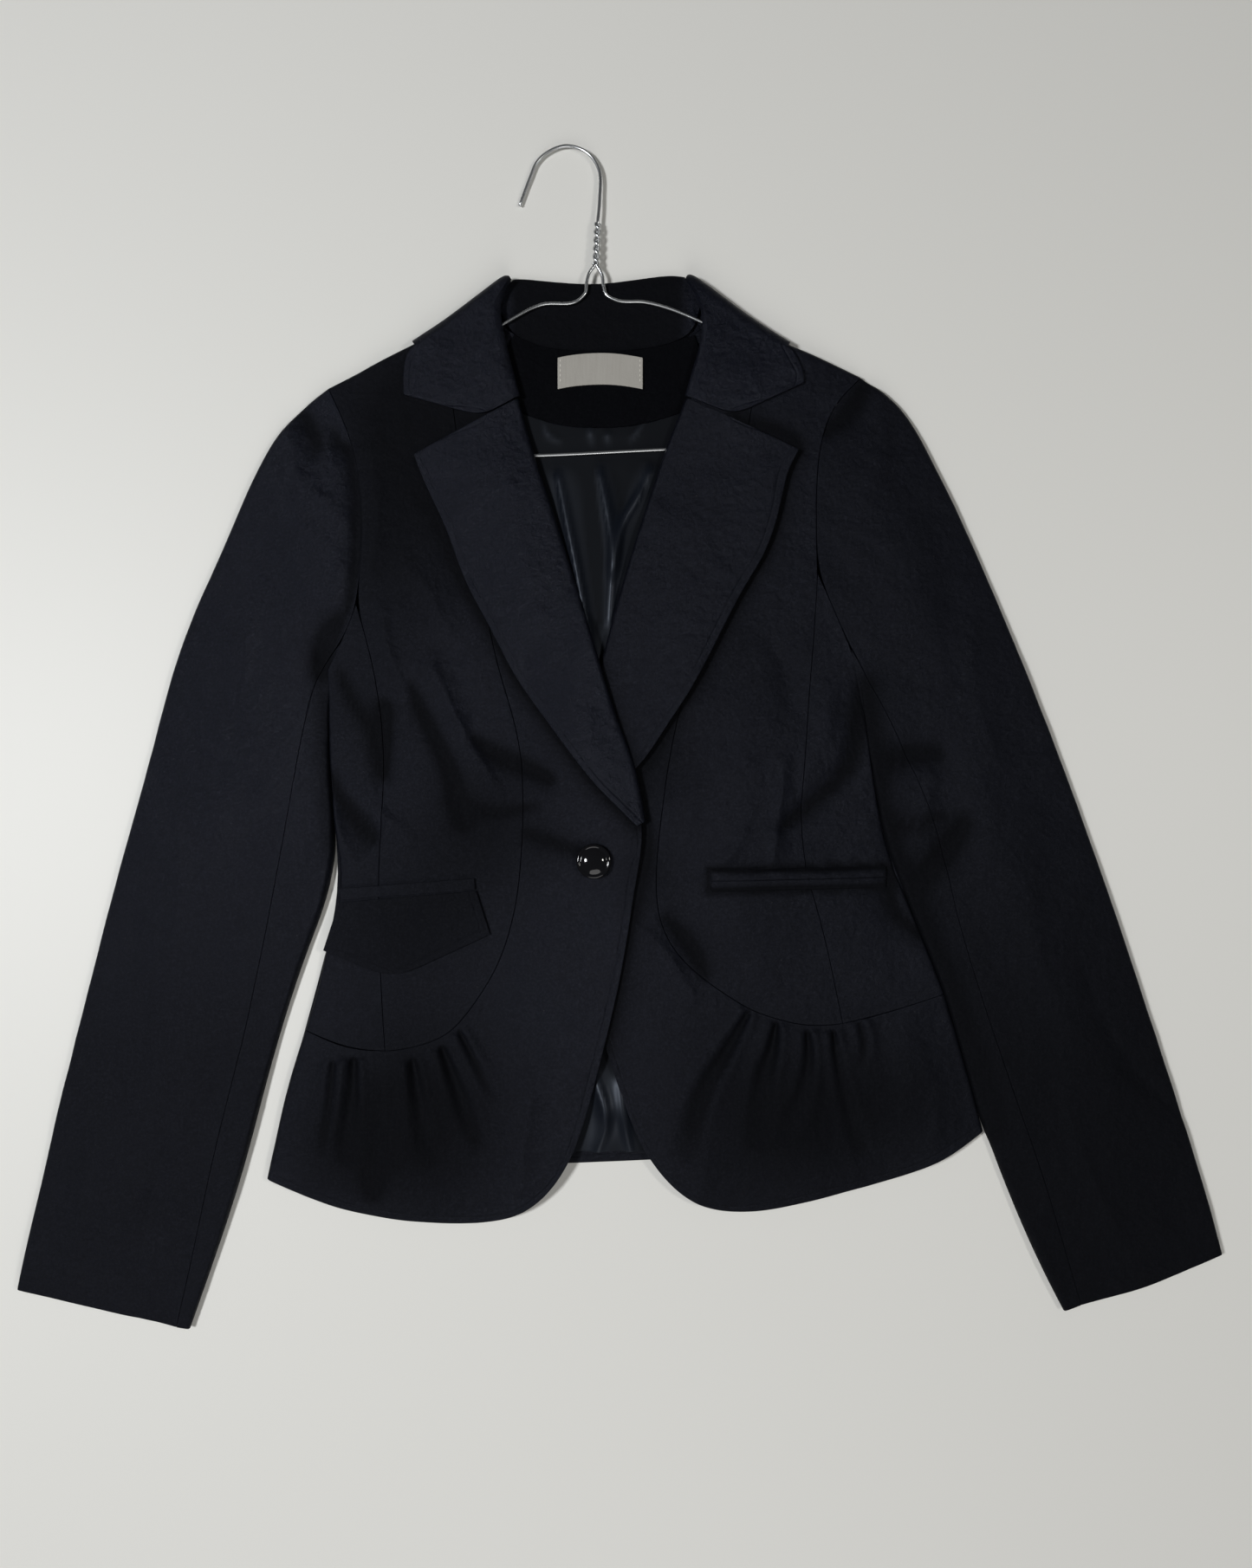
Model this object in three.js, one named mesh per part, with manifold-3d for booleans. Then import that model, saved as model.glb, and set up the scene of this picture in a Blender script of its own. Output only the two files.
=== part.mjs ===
import * as THREE from "three";
import { mergeVertices } from "three/addons/utils/BufferGeometryUtils.js";
import Module from "manifold-3d";

// A cropped blazer with a pleated peplum, lying flat on its back on a wire hanger.
// Millimetres, +Z up. The origin is on the surface, under the centre of the waist.
// Right and left are the wearer's. The wearer's right is at -X.

// Driving dimensions
const CLOTH = 2;
const LINING = 1;
const GAP = 0.3;
const EDGE_RADIUS = 2.6;
const LAYER = CLOTH + 0.4;
const LEAF = CLOTH + 0.9;
const LAPEL_STAND = { rise: 1.3, start: 4, end: 22 };
const OVERLAP = {
  front: { rise: 3.1, start: -56, end: -8 },
  lapel: { rise: 3.1, start: -48, end: -4, low: -36, high: 8 },
  full: 96,
  none: 230,
};
const BODY_CROWN = { rise: 1.6, width: 30 };
const SLEEVE_CROWN = { rise: 2.6, width: 55 };
const FOLD_MARGIN = 14;
const FOLD_ENDS = 1.3;
const COLLAR_LIFT = { rise: LEAF, low: 262, high: 305, full: 122, none: 172, middle: -4 };
const HEM_DROOP = { drop: 2.6, start: -215, end: -262, margin: 25 };
const WIRE = 1.25;
const BUTTON = { x: -11, y: -19, radius: 11.5, height: 5.2, sides: 36, above: 1 };
const COLOURS = {
  suiting: 0x14151b,
  satin: 0x0d1016,
  wire: 0xc4c6c9,
  gloss: 0x08080a,
  label: 0xe9e7e0,
};

// Fronts, a row for each level. The columns are the x of the front edge, of the princess
// seam, of the side-front seam and of the armhole or side.
const FRONTS = {
  right: [
    { y: 341, edge: -81.5 },
    { y: 328.5, edge: -79.8, princess: -110.5 },
    { y: 304.5, edge: -72, princess: -106.5 },
    { y: 292, armhole: -186 },
    { y: 284, edge: -64.5, princess: -104 },
    { y: 254, edge: -56, princess: -100.5, armhole: -169 },
    { y: 222, edge: -45, princess: -96, armhole: -164 },
    { y: 196, edge: -37.5, princess: -91.5, armhole: -163 },
    { y: 168, edge: -28.5, princess: -86.5, armhole: -164 },
    { y: 148, edge: -22, princess: -82.5, sideFront: -168, armhole: -168 },
    { y: 128, edge: -16, princess: -78.5, sideFront: -161, armhole: -176 },
    { y: 106, edge: -9, princess: -74, sideFront: -155.5, armhole: -186.5, side: -186.5 },
    { y: 70, edge: 2.5, princess: -62, sideFront: -151, side: -185.5 },
    { y: 45, edge: 12, princess: -58, sideFront: -150, side: -185 },
    { y: 15, edge: 19.5, princess: -57, sideFront: -150, side: -182.5 },
    { y: -10, edge: 22.5, princess: -58, sideFront: -152, side: -179.5 },
    { y: -28, edge: 17, princess: -59.5, sideFront: -153, side: -176.5 },
    { y: -50, edge: 14, princess: -62, sideFront: -152.5, side: -179 },
    { y: -80, edge: 9, princess: -70.5, sideFront: -152, side: -188 },
    { y: -100, edge: 5.5, princess: -80, sideFront: -151, side: -191 },
    { y: -115, edge: 2, princess: -91 },
    { y: -144, edge: -5, sideFront: -148 },
    { y: -171, edge: -12 },
    { y: -190, edge: -17 },
  ],
  left: [
    { y: 340.5, edge: 73 },
    { y: 328.5, edge: 69.5, princess: 99.5 },
    { y: 303.5, edge: 60.5, princess: 96.5 },
    { y: 299, armhole: 165 },
    { y: 284, edge: 53.5, princess: 94 },
    { y: 275, edge: 49, princess: 92, armhole: 142 },
    { y: 242, edge: 36, princess: 86, armhole: 136 },
    { y: 204, edge: 23.2, princess: 77.5, armhole: 135 },
    { y: 170, edge: 12.7, princess: 69.5, sideFront: 136, armhole: 136 },
    { y: 147, edge: 6.2, princess: 63.5, sideFront: 134.7, armhole: 146 },
    { y: 120, edge: -0.8, princess: 56, sideFront: 133, armhole: 158 },
    { y: 97, edge: -7.8, princess: 49.5, sideFront: 131, armhole: 166, side: 166 },
    { y: 57, edge: -18.8, princess: 40, sideFront: 128.5, side: 169.2 },
    { y: 17, edge: -29, princess: 34, sideFront: 125, side: 175.4 },
    { y: -9, edge: -35, princess: 31, sideFront: 126, side: 180.8 },
    { y: -28, edge: -31.5, princess: 29.5, sideFront: 128.5, side: 187.5 },
    { y: -46, edge: -28, princess: 29, sideFront: 134.5, side: 194.8 },
    { y: -66, edge: -23.5, princess: 33, sideFront: 139.5, side: 203 },
    { y: -84, edge: -19, princess: 45, sideFront: 144, side: 210.3 },
    { y: -101, edge: -15, princess: 66 },
    { y: -107, edge: -13.5, side: 219 },
    { y: -117, edge: -10.5, princess: 91 },
    { y: -126, edge: -8, sideFront: 152 },
    { y: -150, edge: -1 },
    { y: -174, edge: 7 },
  ],
};

// Peplum, a row for each place along it: the y of the hip seam and of the hem at this x
const PEPLUMS = {
  right: [
    { x: -17, hem: -190 },
    { x: -25, hem: -213 },
    { x: -33, hem: -229 },
    { x: -45, hem: -242 },
    { x: -61, hem: -253 },
    { x: -83, hem: -258 },
    { x: -91, hip: -115 },
    { x: -105, hip: -131 },
    { x: -111, hem: -258 },
    { x: -121, hip: -139 },
    { x: -148, hip: -144, hem: -254 },
    { x: -177, hip: -141, hem: -249 },
    { x: -201, hip: -131, hem: -240 },
    { x: -226, hem: -229 },
  ],
  left: [
    { x: 7, hem: -174 },
    { x: 17, hem: -202 },
    { x: 27, hem: -219 },
    { x: 41, hem: -234 },
    { x: 57, hem: -246 },
    { x: 75, hem: -251 },
    { x: 91, hip: -117 },
    { x: 105, hem: -249 },
    { x: 109, hip: -123 },
    { x: 129, hip: -127 },
    { x: 137, hem: -241 },
    { x: 152, hip: -126 },
    { x: 169, hem: -233 },
    { x: 181, hip: -119 },
    { x: 202, hem: -223 },
    { x: 219, hip: -107 },
    { x: 225, hem: -213 },
    { x: 245, hem: -198 },
  ],
};

// Side of the peplum, from the hip seam to the hem
const PEPLUM_SIDES = {
  right: [{ x: -201, y: -131 }, { x: -207, y: -150 }, { x: -213, y: -171 }, { x: -226, y: -229 }],
  left: [{ x: 219, y: -107 }, { x: 226, y: -130 }, { x: 233, y: -154 }, { x: 245, y: -198 }],
};

// Shoulder lines, from the neck point through the princess seam to the shoulder point
const SHOULDERS = {
  right: [
    { x: -81.5, y: 341 },
    { x: -110.5, y: 328.5 },
    { x: -128, y: 320.5 },
    { x: -157, y: 306.5 },
    { x: -186, y: 292 },
  ],
  left: [
    { x: 73, y: 340.5 },
    { x: 99.5, y: 328.5 },
    { x: 114, y: 321 },
    { x: 140, y: 310 },
    { x: 165, y: 299 },
  ],
};

// Sleeves, a row for each level from the armhole to the cuff. The inner edge starts at the
// underarm, and the seam is the forearm seam, which starts on the armhole.
const SLEEVES = {
  right: {
    outer: [
      { x: -186, y: 292 }, { x: -203, y: 283 }, { x: -221, y: 262 }, { x: -242, y: 217 },
      { x: -262, y: 171 }, { x: -282, y: 125 }, { x: -295, y: 80 }, { x: -307, y: 34 },
      { x: -332, y: -57 }, { x: -355, y: -148 }, { x: -377, y: -239 }, { x: -391, y: -302 },
    ],
    seam: [
      { x: -176.5, y: 127 }, { x: -194.5, y: 104 }, { x: -200, y: 80 }, { x: -206, y: 50 },
      { x: -221, y: -35 }, { x: -239, y: -123 }, { x: -260, y: -208 }, { x: -286, y: -326.5 },
    ],
    inner: [
      { x: -189.2, y: 106 }, { x: -188.3, y: 70 }, { x: -187.8, y: 43 }, { x: -185.4, y: 15 },
      { x: -182.7, y: -10 }, { x: -185, y: -32 }, { x: -192, y: -55 }, { x: -202, y: -80 },
      { x: -217, y: -125 }, { x: -230, y: -171 },
      { x: -242, y: -217 }, { x: -256, y: -262 }, { x: -279, y: -328 },
    ],
    cuff: [{ x: -391, y: -302 }, { x: -333, y: -316 }, { x: -279, y: -328 }],
  },
  left: {
    outer: [
      { x: 165, y: 299 }, { x: 178, y: 301 }, { x: 190, y: 285 }, { x: 202, y: 262 },
      { x: 225, y: 217 }, { x: 246, y: 171 }, { x: 265, y: 125 }, { x: 283, y: 80 },
      { x: 301, y: 34 }, { x: 333, y: -57 }, { x: 363, y: -148 }, { x: 392, y: -239 },
      { x: 403, y: -279 },
    ],
    seam: [
      { x: 158, y: 120 }, { x: 175, y: 92 }, { x: 194, y: 51 }, { x: 213, y: 7 },
      { x: 231, y: -67 }, { x: 259, y: -154 }, { x: 286, y: -232 }, { x: 310, y: -312.5 },
    ],
    inner: [
      { x: 168.8, y: 97 }, { x: 172, y: 57 }, { x: 178.3, y: 17 }, { x: 184.3, y: -10 },
      { x: 203.2, y: -59 }, { x: 222, y: -107 }, { x: 236, y: -154 }, { x: 247.2, y: -194 },
      { x: 264, y: -239 }, { x: 284, y: -285 }, { x: 300, y: -316 },
    ],
    cuff: [{ x: 403, y: -279 }, { x: 356, y: -299 }, { x: 300, y: -316 }],
  },
};

// Distances round the armhole from the shoulder point, and which of them are where the
// side-front seam and the forearm seam start
const ARMHOLES = {
  right: { steps: [27, 54, 84, 114, 147, 160, 174], sideFront: 8, forearm: 10 },
  left: { steps: [28, 56, 84, 112, 140, 168, 194], sideFront: 8, forearm: 10 },
};

// Lapels: the roll line and the outer edge, from the gorge to the button
const LAPELS = {
  right: {
    roll: [
      { x: -61.5, y: 284 }, { x: -51, y: 247 }, { x: -37, y: 205 }, { x: -27, y: 173 },
      { x: -17, y: 141 }, { x: -3, y: 94 }, { x: 6, y: 67 }, { x: 14, y: 47 },
      { x: 19.5, y: 22 }, { x: 22, y: 7 },
    ],
    outer: [
      { x: -129, y: 247.5 }, { x: -123, y: 231 }, { x: -109, y: 202 }, { x: -96, y: 166 },
      { x: -78, y: 132 }, { x: -62, y: 101 }, { x: -44, y: 76 }, { x: -28, y: 54 },
      { x: -10, y: 31 }, { x: 8, y: 13 }, { x: 17, y: 4 },
    ],
  },
  left: {
    roll: [
      { x: 50, y: 284 }, { x: 36, y: 249 }, { x: 28, y: 225 }, { x: 21, y: 204 },
      { x: 10, y: 168 }, { x: 2, y: 140 }, { x: -3, y: 120 }, { x: -10, y: 97 },
      { x: -21, y: 57 }, { x: -31, y: 20 },
    ],
    outer: [
      { x: 123, y: 250 }, { x: 116, y: 238 }, { x: 110, y: 210 }, { x: 101, y: 183 },
      { x: 87, y: 160 }, { x: 74, y: 135 }, { x: 62, y: 111 }, { x: 49, y: 88 },
      { x: 36, y: 69 }, { x: 24, y: 50 }, { x: 9, y: 34 }, { x: -9, y: 23 }, { x: -26, y: 16 },
    ],
  },
};

// Collar, a row for each section from the front end to the centre back. The turn is 90 on
// the front, 0 at the shoulder and -90 under the back. The columns are the outer edge, the
// fold and the neck seam. The front end also has the notch.
const COLLAR = {
  right: [
    { turn: 90, outer: [-135, 286], notch: [-85, 272.6], fold: [-60.5, 285.5], neck: [-64, 285] },
    { turn: 90, outer: [-135.5, 299], fold: [-66, 306], neck: [-70.7, 305] },
    { turn: 90, outer: [-134, 310], fold: [-71, 327], neck: [-77.5, 325.5] },
    { turn: 90, outer: [-131.5, 315], fold: [-75, 347.5], neck: [-81, 344] },
    { turn: 90, outer: [-129, 320], fold: [-67.5, 364.5], neck: [-79, 357], wrap: true },
    { turn: 45, outer: [-129, 320], fold: [-67.5, 364.5], neck: [-79, 357], wrap: true },
    { turn: 0, outer: [-129, 320], fold: [-67.5, 364.5], neck: [-79, 357], wrap: true },
    { turn: -45, outer: [-129, 320], fold: [-67.5, 364.5], neck: [-79, 357], wrap: true },
    { turn: -90, outer: [-128, 320.5], fold: [-67.5, 364.5], neck: [-79, 357], wrap: true },
    { turn: -90, outer: [-104, 315], fold: [-65, 364.5], neck: [-68, 331.2] },
    { turn: -90, outer: [-60, 311], fold: [-46, 363.5], neck: [-45, 320] },
    { turn: -90, outer: [-8, 310], fold: [-8, 361], neck: [-8, 317] },
  ],
  left: [
    { turn: 90, outer: [126, 294], notch: [81, 273], fold: [49.5, 285.5], neck: [53, 285] },
    { turn: 90, outer: [126, 301], fold: [55, 304.5], neck: [59.7, 304] },
    { turn: 90, outer: [122, 309], fold: [62, 327], neck: [68, 325.5] },
    { turn: 90, outer: [119.5, 314.5], fold: [60, 347.5], neck: [66, 344] },
    { turn: 90, outer: [116.5, 319.5], fold: [51, 365], neck: [62.5, 357.5], wrap: true },
    { turn: 45, outer: [116.5, 319.5], fold: [51, 365], neck: [62.5, 357.5], wrap: true },
    { turn: 0, outer: [116.5, 319.5], fold: [51, 365], neck: [62.5, 357.5], wrap: true },
    { turn: -45, outer: [116.5, 319.5], fold: [51, 365], neck: [62.5, 357.5], wrap: true },
    { turn: -90, outer: [116, 320], fold: [51, 365], neck: [62.5, 357.5], wrap: true },
    { turn: -90, outer: [92, 315], fold: [48.5, 366], neck: [56, 331.2] },
    { turn: -90, outer: [46, 311], fold: [32, 366.5], neck: [30, 320] },
  ],
};

// Back neck edge, the edges of the neck facing, and the sides of the lining
const NECK_EDGE = [
  { x: -81.5, y: 341 }, { x: -68, y: 328.5 }, { x: -45, y: 317.6 }, { x: -8, y: 315 },
  { x: 30, y: 317.6 }, { x: 56, y: 328.5 }, { x: 73, y: 340.5 },
];
const FACING = {
  top: [
    { x: -64, y: 327.5 }, { x: -45, y: 319.5 }, { x: -8, y: 316.5 }, { x: 30, y: 319.5 },
    { x: 55, y: 327.5 },
  ],
  low: [
    { x: -80, y: 286 }, { x: -37, y: 269 }, { x: -9, y: 267 }, { x: 20, y: 269 },
    { x: 72, y: 286 },
  ],
};
const LINING_SIDES = [
  { y: 286, right: -80, left: 72 },
  { y: 180, right: -74, left: 58 },
  { y: 90, right: -64, left: 44 },
  { y: 10, right: -52, left: 30 },
  { y: -80, right: -50, left: 30 },
  { y: -211, right: -64, left: 60 },
];
const HEM_BACK = [
  { x: -226, y: -229 }, { x: -120, y: -222 }, { x: -8, y: -219 }, { x: 120, y: -211 },
  { x: 245, y: -198 },
];
const LABEL = { left: -35, right: 21, low: 293.5, high: 314, arch: 1.5, thickness: 1 };

// Pleats run from the hip seam, a column for where along the seam part and along the hem
// part each stands, and its height. Positive rows are ridges and negative ones troughs.
const PLEATS = {
  inner: [
    { seam: 0, hem: 0, height: 0 },
    { seam: 0.17, hem: 0.19, height: -0.7 },
    { seam: 0.3, hem: 0.36, height: 2.2 },
    { seam: 0.44, hem: 0.49, height: -0.7 },
    { seam: 0.57, hem: 0.61, height: 2.4 },
    { seam: 0.72, hem: 0.74, height: -0.7 },
    { seam: 0.87, hem: 0.86, height: 2.3 },
    { seam: 1, hem: 1, height: -0.6 },
  ],
  outer: [
    { seam: 0.24, hem: 0.29, height: 2 },
    { seam: 0.4, hem: 0.43, height: -0.6 },
    { seam: 0.56, hem: 0.58, height: 2.1 },
    { seam: 0.75, hem: 0.76, height: -0.3 },
  ],
};
const PLEAT_FADE = { full: 0.13, fall: 0.3, end: 0.85 };
const PEPLUM_TURN = { right: -138, left: 128 };

// Largest folds of the fronts and sleeves: a ridge, or a trough where the height is below
// zero, between two points
const FOLDS = [
  { from: [-150, 30], to: [-145, 75], height: -1.6, width: 11 },
  { from: [-137, 128], to: [-106, 62], height: 1.8, width: 12 },
  { from: [-186, 35], to: [-158, -2], height: -1.4, width: 10 },
  { from: [-225, 243], to: [-180, 190], height: 3.6, width: 15 },
  { from: [-196, 128], to: [-232, 40], height: 2.2, width: 16 },
  { from: [-262, 60], to: [-300, -60], height: 2.4, width: 20 },
  { from: [-286, -120], to: [-330, -240], height: 2.2, width: 24 },
  { from: [-250, -130], to: [-262, -190], height: -1.2, width: 12 },
  { from: [-95, 40], to: [-110, -80], height: 1.6, width: 20 },
  { from: [-72, -170], to: [-58, -240], height: 2.6, width: 14 },
  { from: [-140, -190], to: [-132, -250], height: 2.4, width: 18 },
  { from: [-196, -170], to: [-205, -235], height: 1.6, width: 14 },
  { from: [162, 67], to: [161, 45], height: -1.8, width: 9 },
  { from: [160, 38], to: [118, 10], height: -2.2, width: 11 },
  { from: [172, 240], to: [205, 150], height: 3.2, width: 18 },
  { from: [175, 45], to: [222, 55], height: -1.4, width: 10 },
  { from: [232, 60], to: [262, -40], height: 2.4, width: 18 },
  { from: [290, -60], to: [330, -190], height: 2.6, width: 22 },
  { from: [262, -150], to: [292, -240], height: 1.6, width: 15 },
  { from: [84, 40], to: [92, -70], height: 1.8, width: 20 },
  { from: [58, -165], to: [48, -232], height: 2.4, width: 14 },
  { from: [128, -165], to: [126, -236], height: 2.4, width: 18 },
  { from: [190, -150], to: [212, -205], height: 1.8, width: 14 },
];

// Pockets on the fronts
const RIGHT_WELT = { from: [-178, -41], to: [-89, -34], width: 7.5, thickness: 1.4 };
const RIGHT_FLAP = {
  top: [{ x: -178.5, y: -46.5 }, { x: -134, y: -42.5 }, { x: -88, y: -38.5 }],
  low: [{ x: -189, y: -78 }, { x: -165, y: -88.5 }, { x: -142, y: -96 }, { x: -79, y: -67 }],
  thickness: 1.6,
  across: [0, 0.12, 0.24, 0.36, 0.48, 0.62, 0.8, 1],
  down: [0, 0.33, 0.67, 1],
};
const LEFT_WELTS = {
  upper: { from: [66, -28.5], to: [181, -26], width: 7, thickness: 1.3 },
  lower: { from: [66, -36], to: [181, -33.5], width: 7, thickness: 1.3 },
};

// Hanger, its wires from the neck twist to each end, the bar, and the hook
const HANGER = {
  arm: [
    { x: -10, y: 373, z: 7 },
    { x: -13.6, y: 365, z: 6.8 },
    { x: -15.5, y: 355.5, z: 6.8 },
    { x: -21, y: 350.8, z: 6.8 },
    { x: -46, y: 347, z: 6.8 },
    { x: -71, y: 334, z: 7.3 },
    { x: -118, y: 303, z: 6.7 },
    { x: -148, y: 283, z: 5.6 },
    { x: -170, y: 267, z: 4.4 },
    { x: -179, y: 256, z: 4 },
    { x: -172, y: 247, z: 4 },
    { x: -50, y: 248, z: 5.5 },
    { x: 35, y: 252, z: 5.7 },
    { x: 154, y: 257, z: 4 },
    { x: 162, y: 265, z: 4 },
    { x: 154, y: 277, z: 4.4 },
    { x: 134, y: 291, z: 5.6 },
    { x: 108, y: 307, z: 6.7 },
    { x: 61, y: 335, z: 7.3 },
    { x: 22, y: 348.8, z: 6.8 },
    { x: 2.5, y: 350.5, z: 6.8 },
    { x: -3.8, y: 355.5, z: 6.8 },
    { x: -6, y: 365, z: 6.8 },
    { x: -10, y: 374, z: 7.2 },
  ],
  hook: [
    { x: -10, y: 372, z: 7 },
    { x: -9, y: 395, z: 6 },
    { x: -7.4, y: 418, z: 4.7 },
    { x: -8.5, y: 439, z: 3.8 },
    { x: -14, y: 447.5, z: 3.4 },
    { x: -29.6, y: 453.6, z: 3 },
    { x: -41, y: 450, z: 2.7 },
    { x: -48.5, y: 443.6, z: 2.4 },
    { x: -54, y: 431.5, z: 2.2 },
    { x: -60.4, y: 414.4, z: 2 },
  ],
  twist: { from: [-10, 374, 6.9], to: [-8.8, 402, 5.6], radius: 2.1, wire: 1.15, turns: 3 },
  armSteps: 64,
  hookSteps: 24,
  twistSteps: 36,
};

const wasm = await Module();
wasm.setup();
const UP = new THREE.Vector3(0, 0, 1);

// Lines through table rows
function smoothLine(rows, count = 80) {
  const points = rows.map((row) => new THREE.Vector3(row.x, row.y, row.z ?? 0));
  return new THREE.CatmullRomCurve3(points, false, "centripetal").getSpacedPoints(count);
}

function column(rows, name) {
  return rows.filter((row) => row[name] !== undefined).map((row) => ({ x: row[name], y: row.y }));
}

function seamColumn(rows, name) {
  return rows.filter((row) => row[name] !== undefined).map((row) => ({ x: row.x, y: row[name] }));
}

function lengths(points) {
  const sums = [0];
  for (let i = 1; i < points.length; i += 1) {
    sums.push(sums[i - 1] + points[i].distanceTo(points[i - 1]));
  }
  return sums;
}

function pointAt(points, sums, distance) {
  const along = Math.min(Math.max(distance, 0), sums[sums.length - 1]);
  let k = 1;
  while (k < sums.length - 1 && sums[k] < along) {
    k += 1;
  }
  const share = (along - sums[k - 1]) / (sums[k] - sums[k - 1]);
  return points[k - 1].clone().lerp(points[k], share);
}

function pointsAt(points, distances) {
  const sums = lengths(points);
  return distances.map((distance) => pointAt(points, sums, distance));
}

function atShares(points, shares) {
  const sums = lengths(points);
  const total = sums[sums.length - 1];
  return shares.map((share) => pointAt(points, sums, share * total));
}

// Distances from a rounded edge at which a panel needs points, as shares of its radius
const ROUND_SHARES = [0, 0.13, 0.5, 1];
const FINE = ROUND_SHARES.map((share) => share * EDGE_RADIUS);

function fineShares(points, middle, start, end) {
  const total = lengths(points).at(-1);
  const first = start ? FINE.map((d) => d / total) : [0];
  const last = end ? FINE.map((d) => 1 - d / total).reverse() : [1];
  const shares = [...first];
  for (let i = 1; i <= middle; i += 1) {
    shares.push(first.at(-1) + ((last[0] - first.at(-1)) * i) / (middle + 1));
  }
  return [...shares, ...last];
}

// Points along a line with this many between its ends
function spaced(points, middle) {
  return atShares(points, fineShares(points, middle, false, false));
}

function offsetLine(points, amount) {
  return points.map((point, i) => {
    const next = points[Math.min(i + 1, points.length - 1)];
    const last = points[Math.max(i - 1, 0)];
    const along = next.clone().sub(last).normalize();
    return point.clone().add(new THREE.Vector3(-along.y, along.x, 0).multiplyScalar(amount));
  });
}

function smooth(value, low, high) {
  const share = THREE.MathUtils.clamp((value - low) / (high - low), 0, 1);
  return share * share * (3 - 2 * share);
}

// Silhouettes, run so that the cloth is on their left
function silhouetteOf(points) {
  return { points, inward: offsetLine(points, 1).map((p, i) => p.sub(points[i])) };
}

const outlines = {};
for (const side of ["right", "left"]) {
  const levels = FRONTS[side];
  const shoulder = smoothLine(SHOULDERS[side]);
  const armhole = smoothLine(column(levels, "armhole"));
  const sideRows = column(levels, "side");
  const toHip = smoothLine([sideRows.at(-1), PEPLUM_SIDES[side][0]], 12);
  const bodySide = [...smoothLine(sideRows), ...toHip.slice(1)];
  const peplumSide = smoothLine(PEPLUM_SIDES[side]);
  outlines[side] = {
    shoulder,
    armhole,
    bodySide,
    peplumSide,
    sleeveOuter: smoothLine(SLEEVES[side].outer),
    sleeveSeam: smoothLine(SLEEVES[side].seam),
    sleeveInner: smoothLine(SLEEVES[side].inner),
    cuff: smoothLine(SLEEVES[side].cuff),
  };
}

const SILHOUETTES = ["right", "left"].flatMap((side) => {
  const line = outlines[side];
  const over = [...line.shoulder, ...line.sleeveOuter.slice(1)];
  const body = [...line.bodySide, ...line.peplumSide.slice(1)];
  const inner = [...line.sleeveInner];
  return side === "right"
    ? [silhouetteOf(over), silhouetteOf(body), silhouetteOf(inner.reverse())]
    : [silhouetteOf(over.reverse()), silhouetteOf(body.reverse()), silhouetteOf(inner)];
});

function nearestOn(point, silhouettes) {
  let best = { distance: Infinity };
  for (const { points, inward } of silhouettes) {
    for (let k = 1; k < points.length; k += 1) {
      const a = points[k - 1];
      const dx = points[k].x - a.x;
      const dy = points[k].y - a.y;
      const along = ((point.x - a.x) * dx + (point.y - a.y) * dy) / (dx * dx + dy * dy);
      const share = THREE.MathUtils.clamp(along, 0, 1);
      const foot = { x: a.x + share * dx, y: a.y + share * dy };
      const distance = Math.hypot(point.x - foot.x, point.y - foot.y);
      if (distance < best.distance) {
        best = { distance, foot, normal: inward[k - 1].clone().lerp(inward[k], share).normalize() };
      }
    }
  }
  return best;
}

function nearestEdge(point) {
  return nearestOn(point, SILHOUETTES);
}

// Height of the layers
function collarLift(x, y) {
  const { rise, low, high, full, none, middle } = COLLAR_LIFT;
  return rise * smooth(y, low, high) * (1 - smooth(Math.abs(x - middle), full, none));
}

function middleHeight(x, y) {
  return CLOTH / 2 + EDGE_RADIUS + GAP / 2 + collarLift(x, y);
}

function foldHeight(x, y) {
  let height = 0;
  for (const fold of FOLDS) {
    const dx = fold.to[0] - fold.from[0];
    const dy = fold.to[1] - fold.from[1];
    const length = Math.hypot(dx, dy);
    const along = ((x - fold.from[0]) * dx + (y - fold.from[1]) * dy) / length;
    const across = ((x - fold.from[0]) * -dy + (y - fold.from[1]) * dx) / length;
    const past = Math.max(-along, along - length, 0);
    const end = past / (FOLD_ENDS * fold.width);
    height += fold.height * Math.exp(-((across / fold.width) ** 2) - end ** 2);
  }
  return height;
}

function formHeight(x, y, distance, crown) {
  const swell = crown.rise * (1 - Math.exp(-((distance / crown.width) ** 2)));
  const fold = foldHeight(x, y) * (1 - Math.exp(-((distance / FOLD_MARGIN) ** 2)));
  const near = smooth(distance, 0, HEM_DROOP.margin);
  const droop = HEM_DROOP.drop * smooth(-y, -HEM_DROOP.start, -HEM_DROOP.end) * near;
  return swell + fold - droop;
}

function overlapLift(x, y) {
  const past = x - edgeAt("left", y);
  const { front, lapel } = OVERLAP;
  const overFront = front.rise * smooth(past, front.start, front.end);
  const overLapel = lapel.rise * smooth(past, lapel.start, lapel.end) * smooth(y, lapel.low, lapel.high);
  return (1 - smooth(y, OVERLAP.full, OVERLAP.none)) * (overFront + overLapel);
}

const EDGE_LINES = {};
const EDGE_STEPS = 200;
const LOWEST_STEP = 110;
for (const side of ["right", "left"]) {
  const hem = seamColumn(PEPLUMS[side], "hem").slice(1);
  EDGE_LINES[side] = smoothLine([...column(FRONTS[side], "edge"), ...hem], EDGE_STEPS);
}

function edgeAt(side, y) {
  const line = EDGE_LINES[side];
  let k = 1;
  while (k < LOWEST_STEP && line[k].y > y) {
    k += 1;
  }
  const share = THREE.MathUtils.clamp((line[k - 1].y - y) / (line[k - 1].y - line[k].y), 0, 1);
  return THREE.MathUtils.lerp(line[k - 1].x, line[k].x, share);
}

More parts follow.
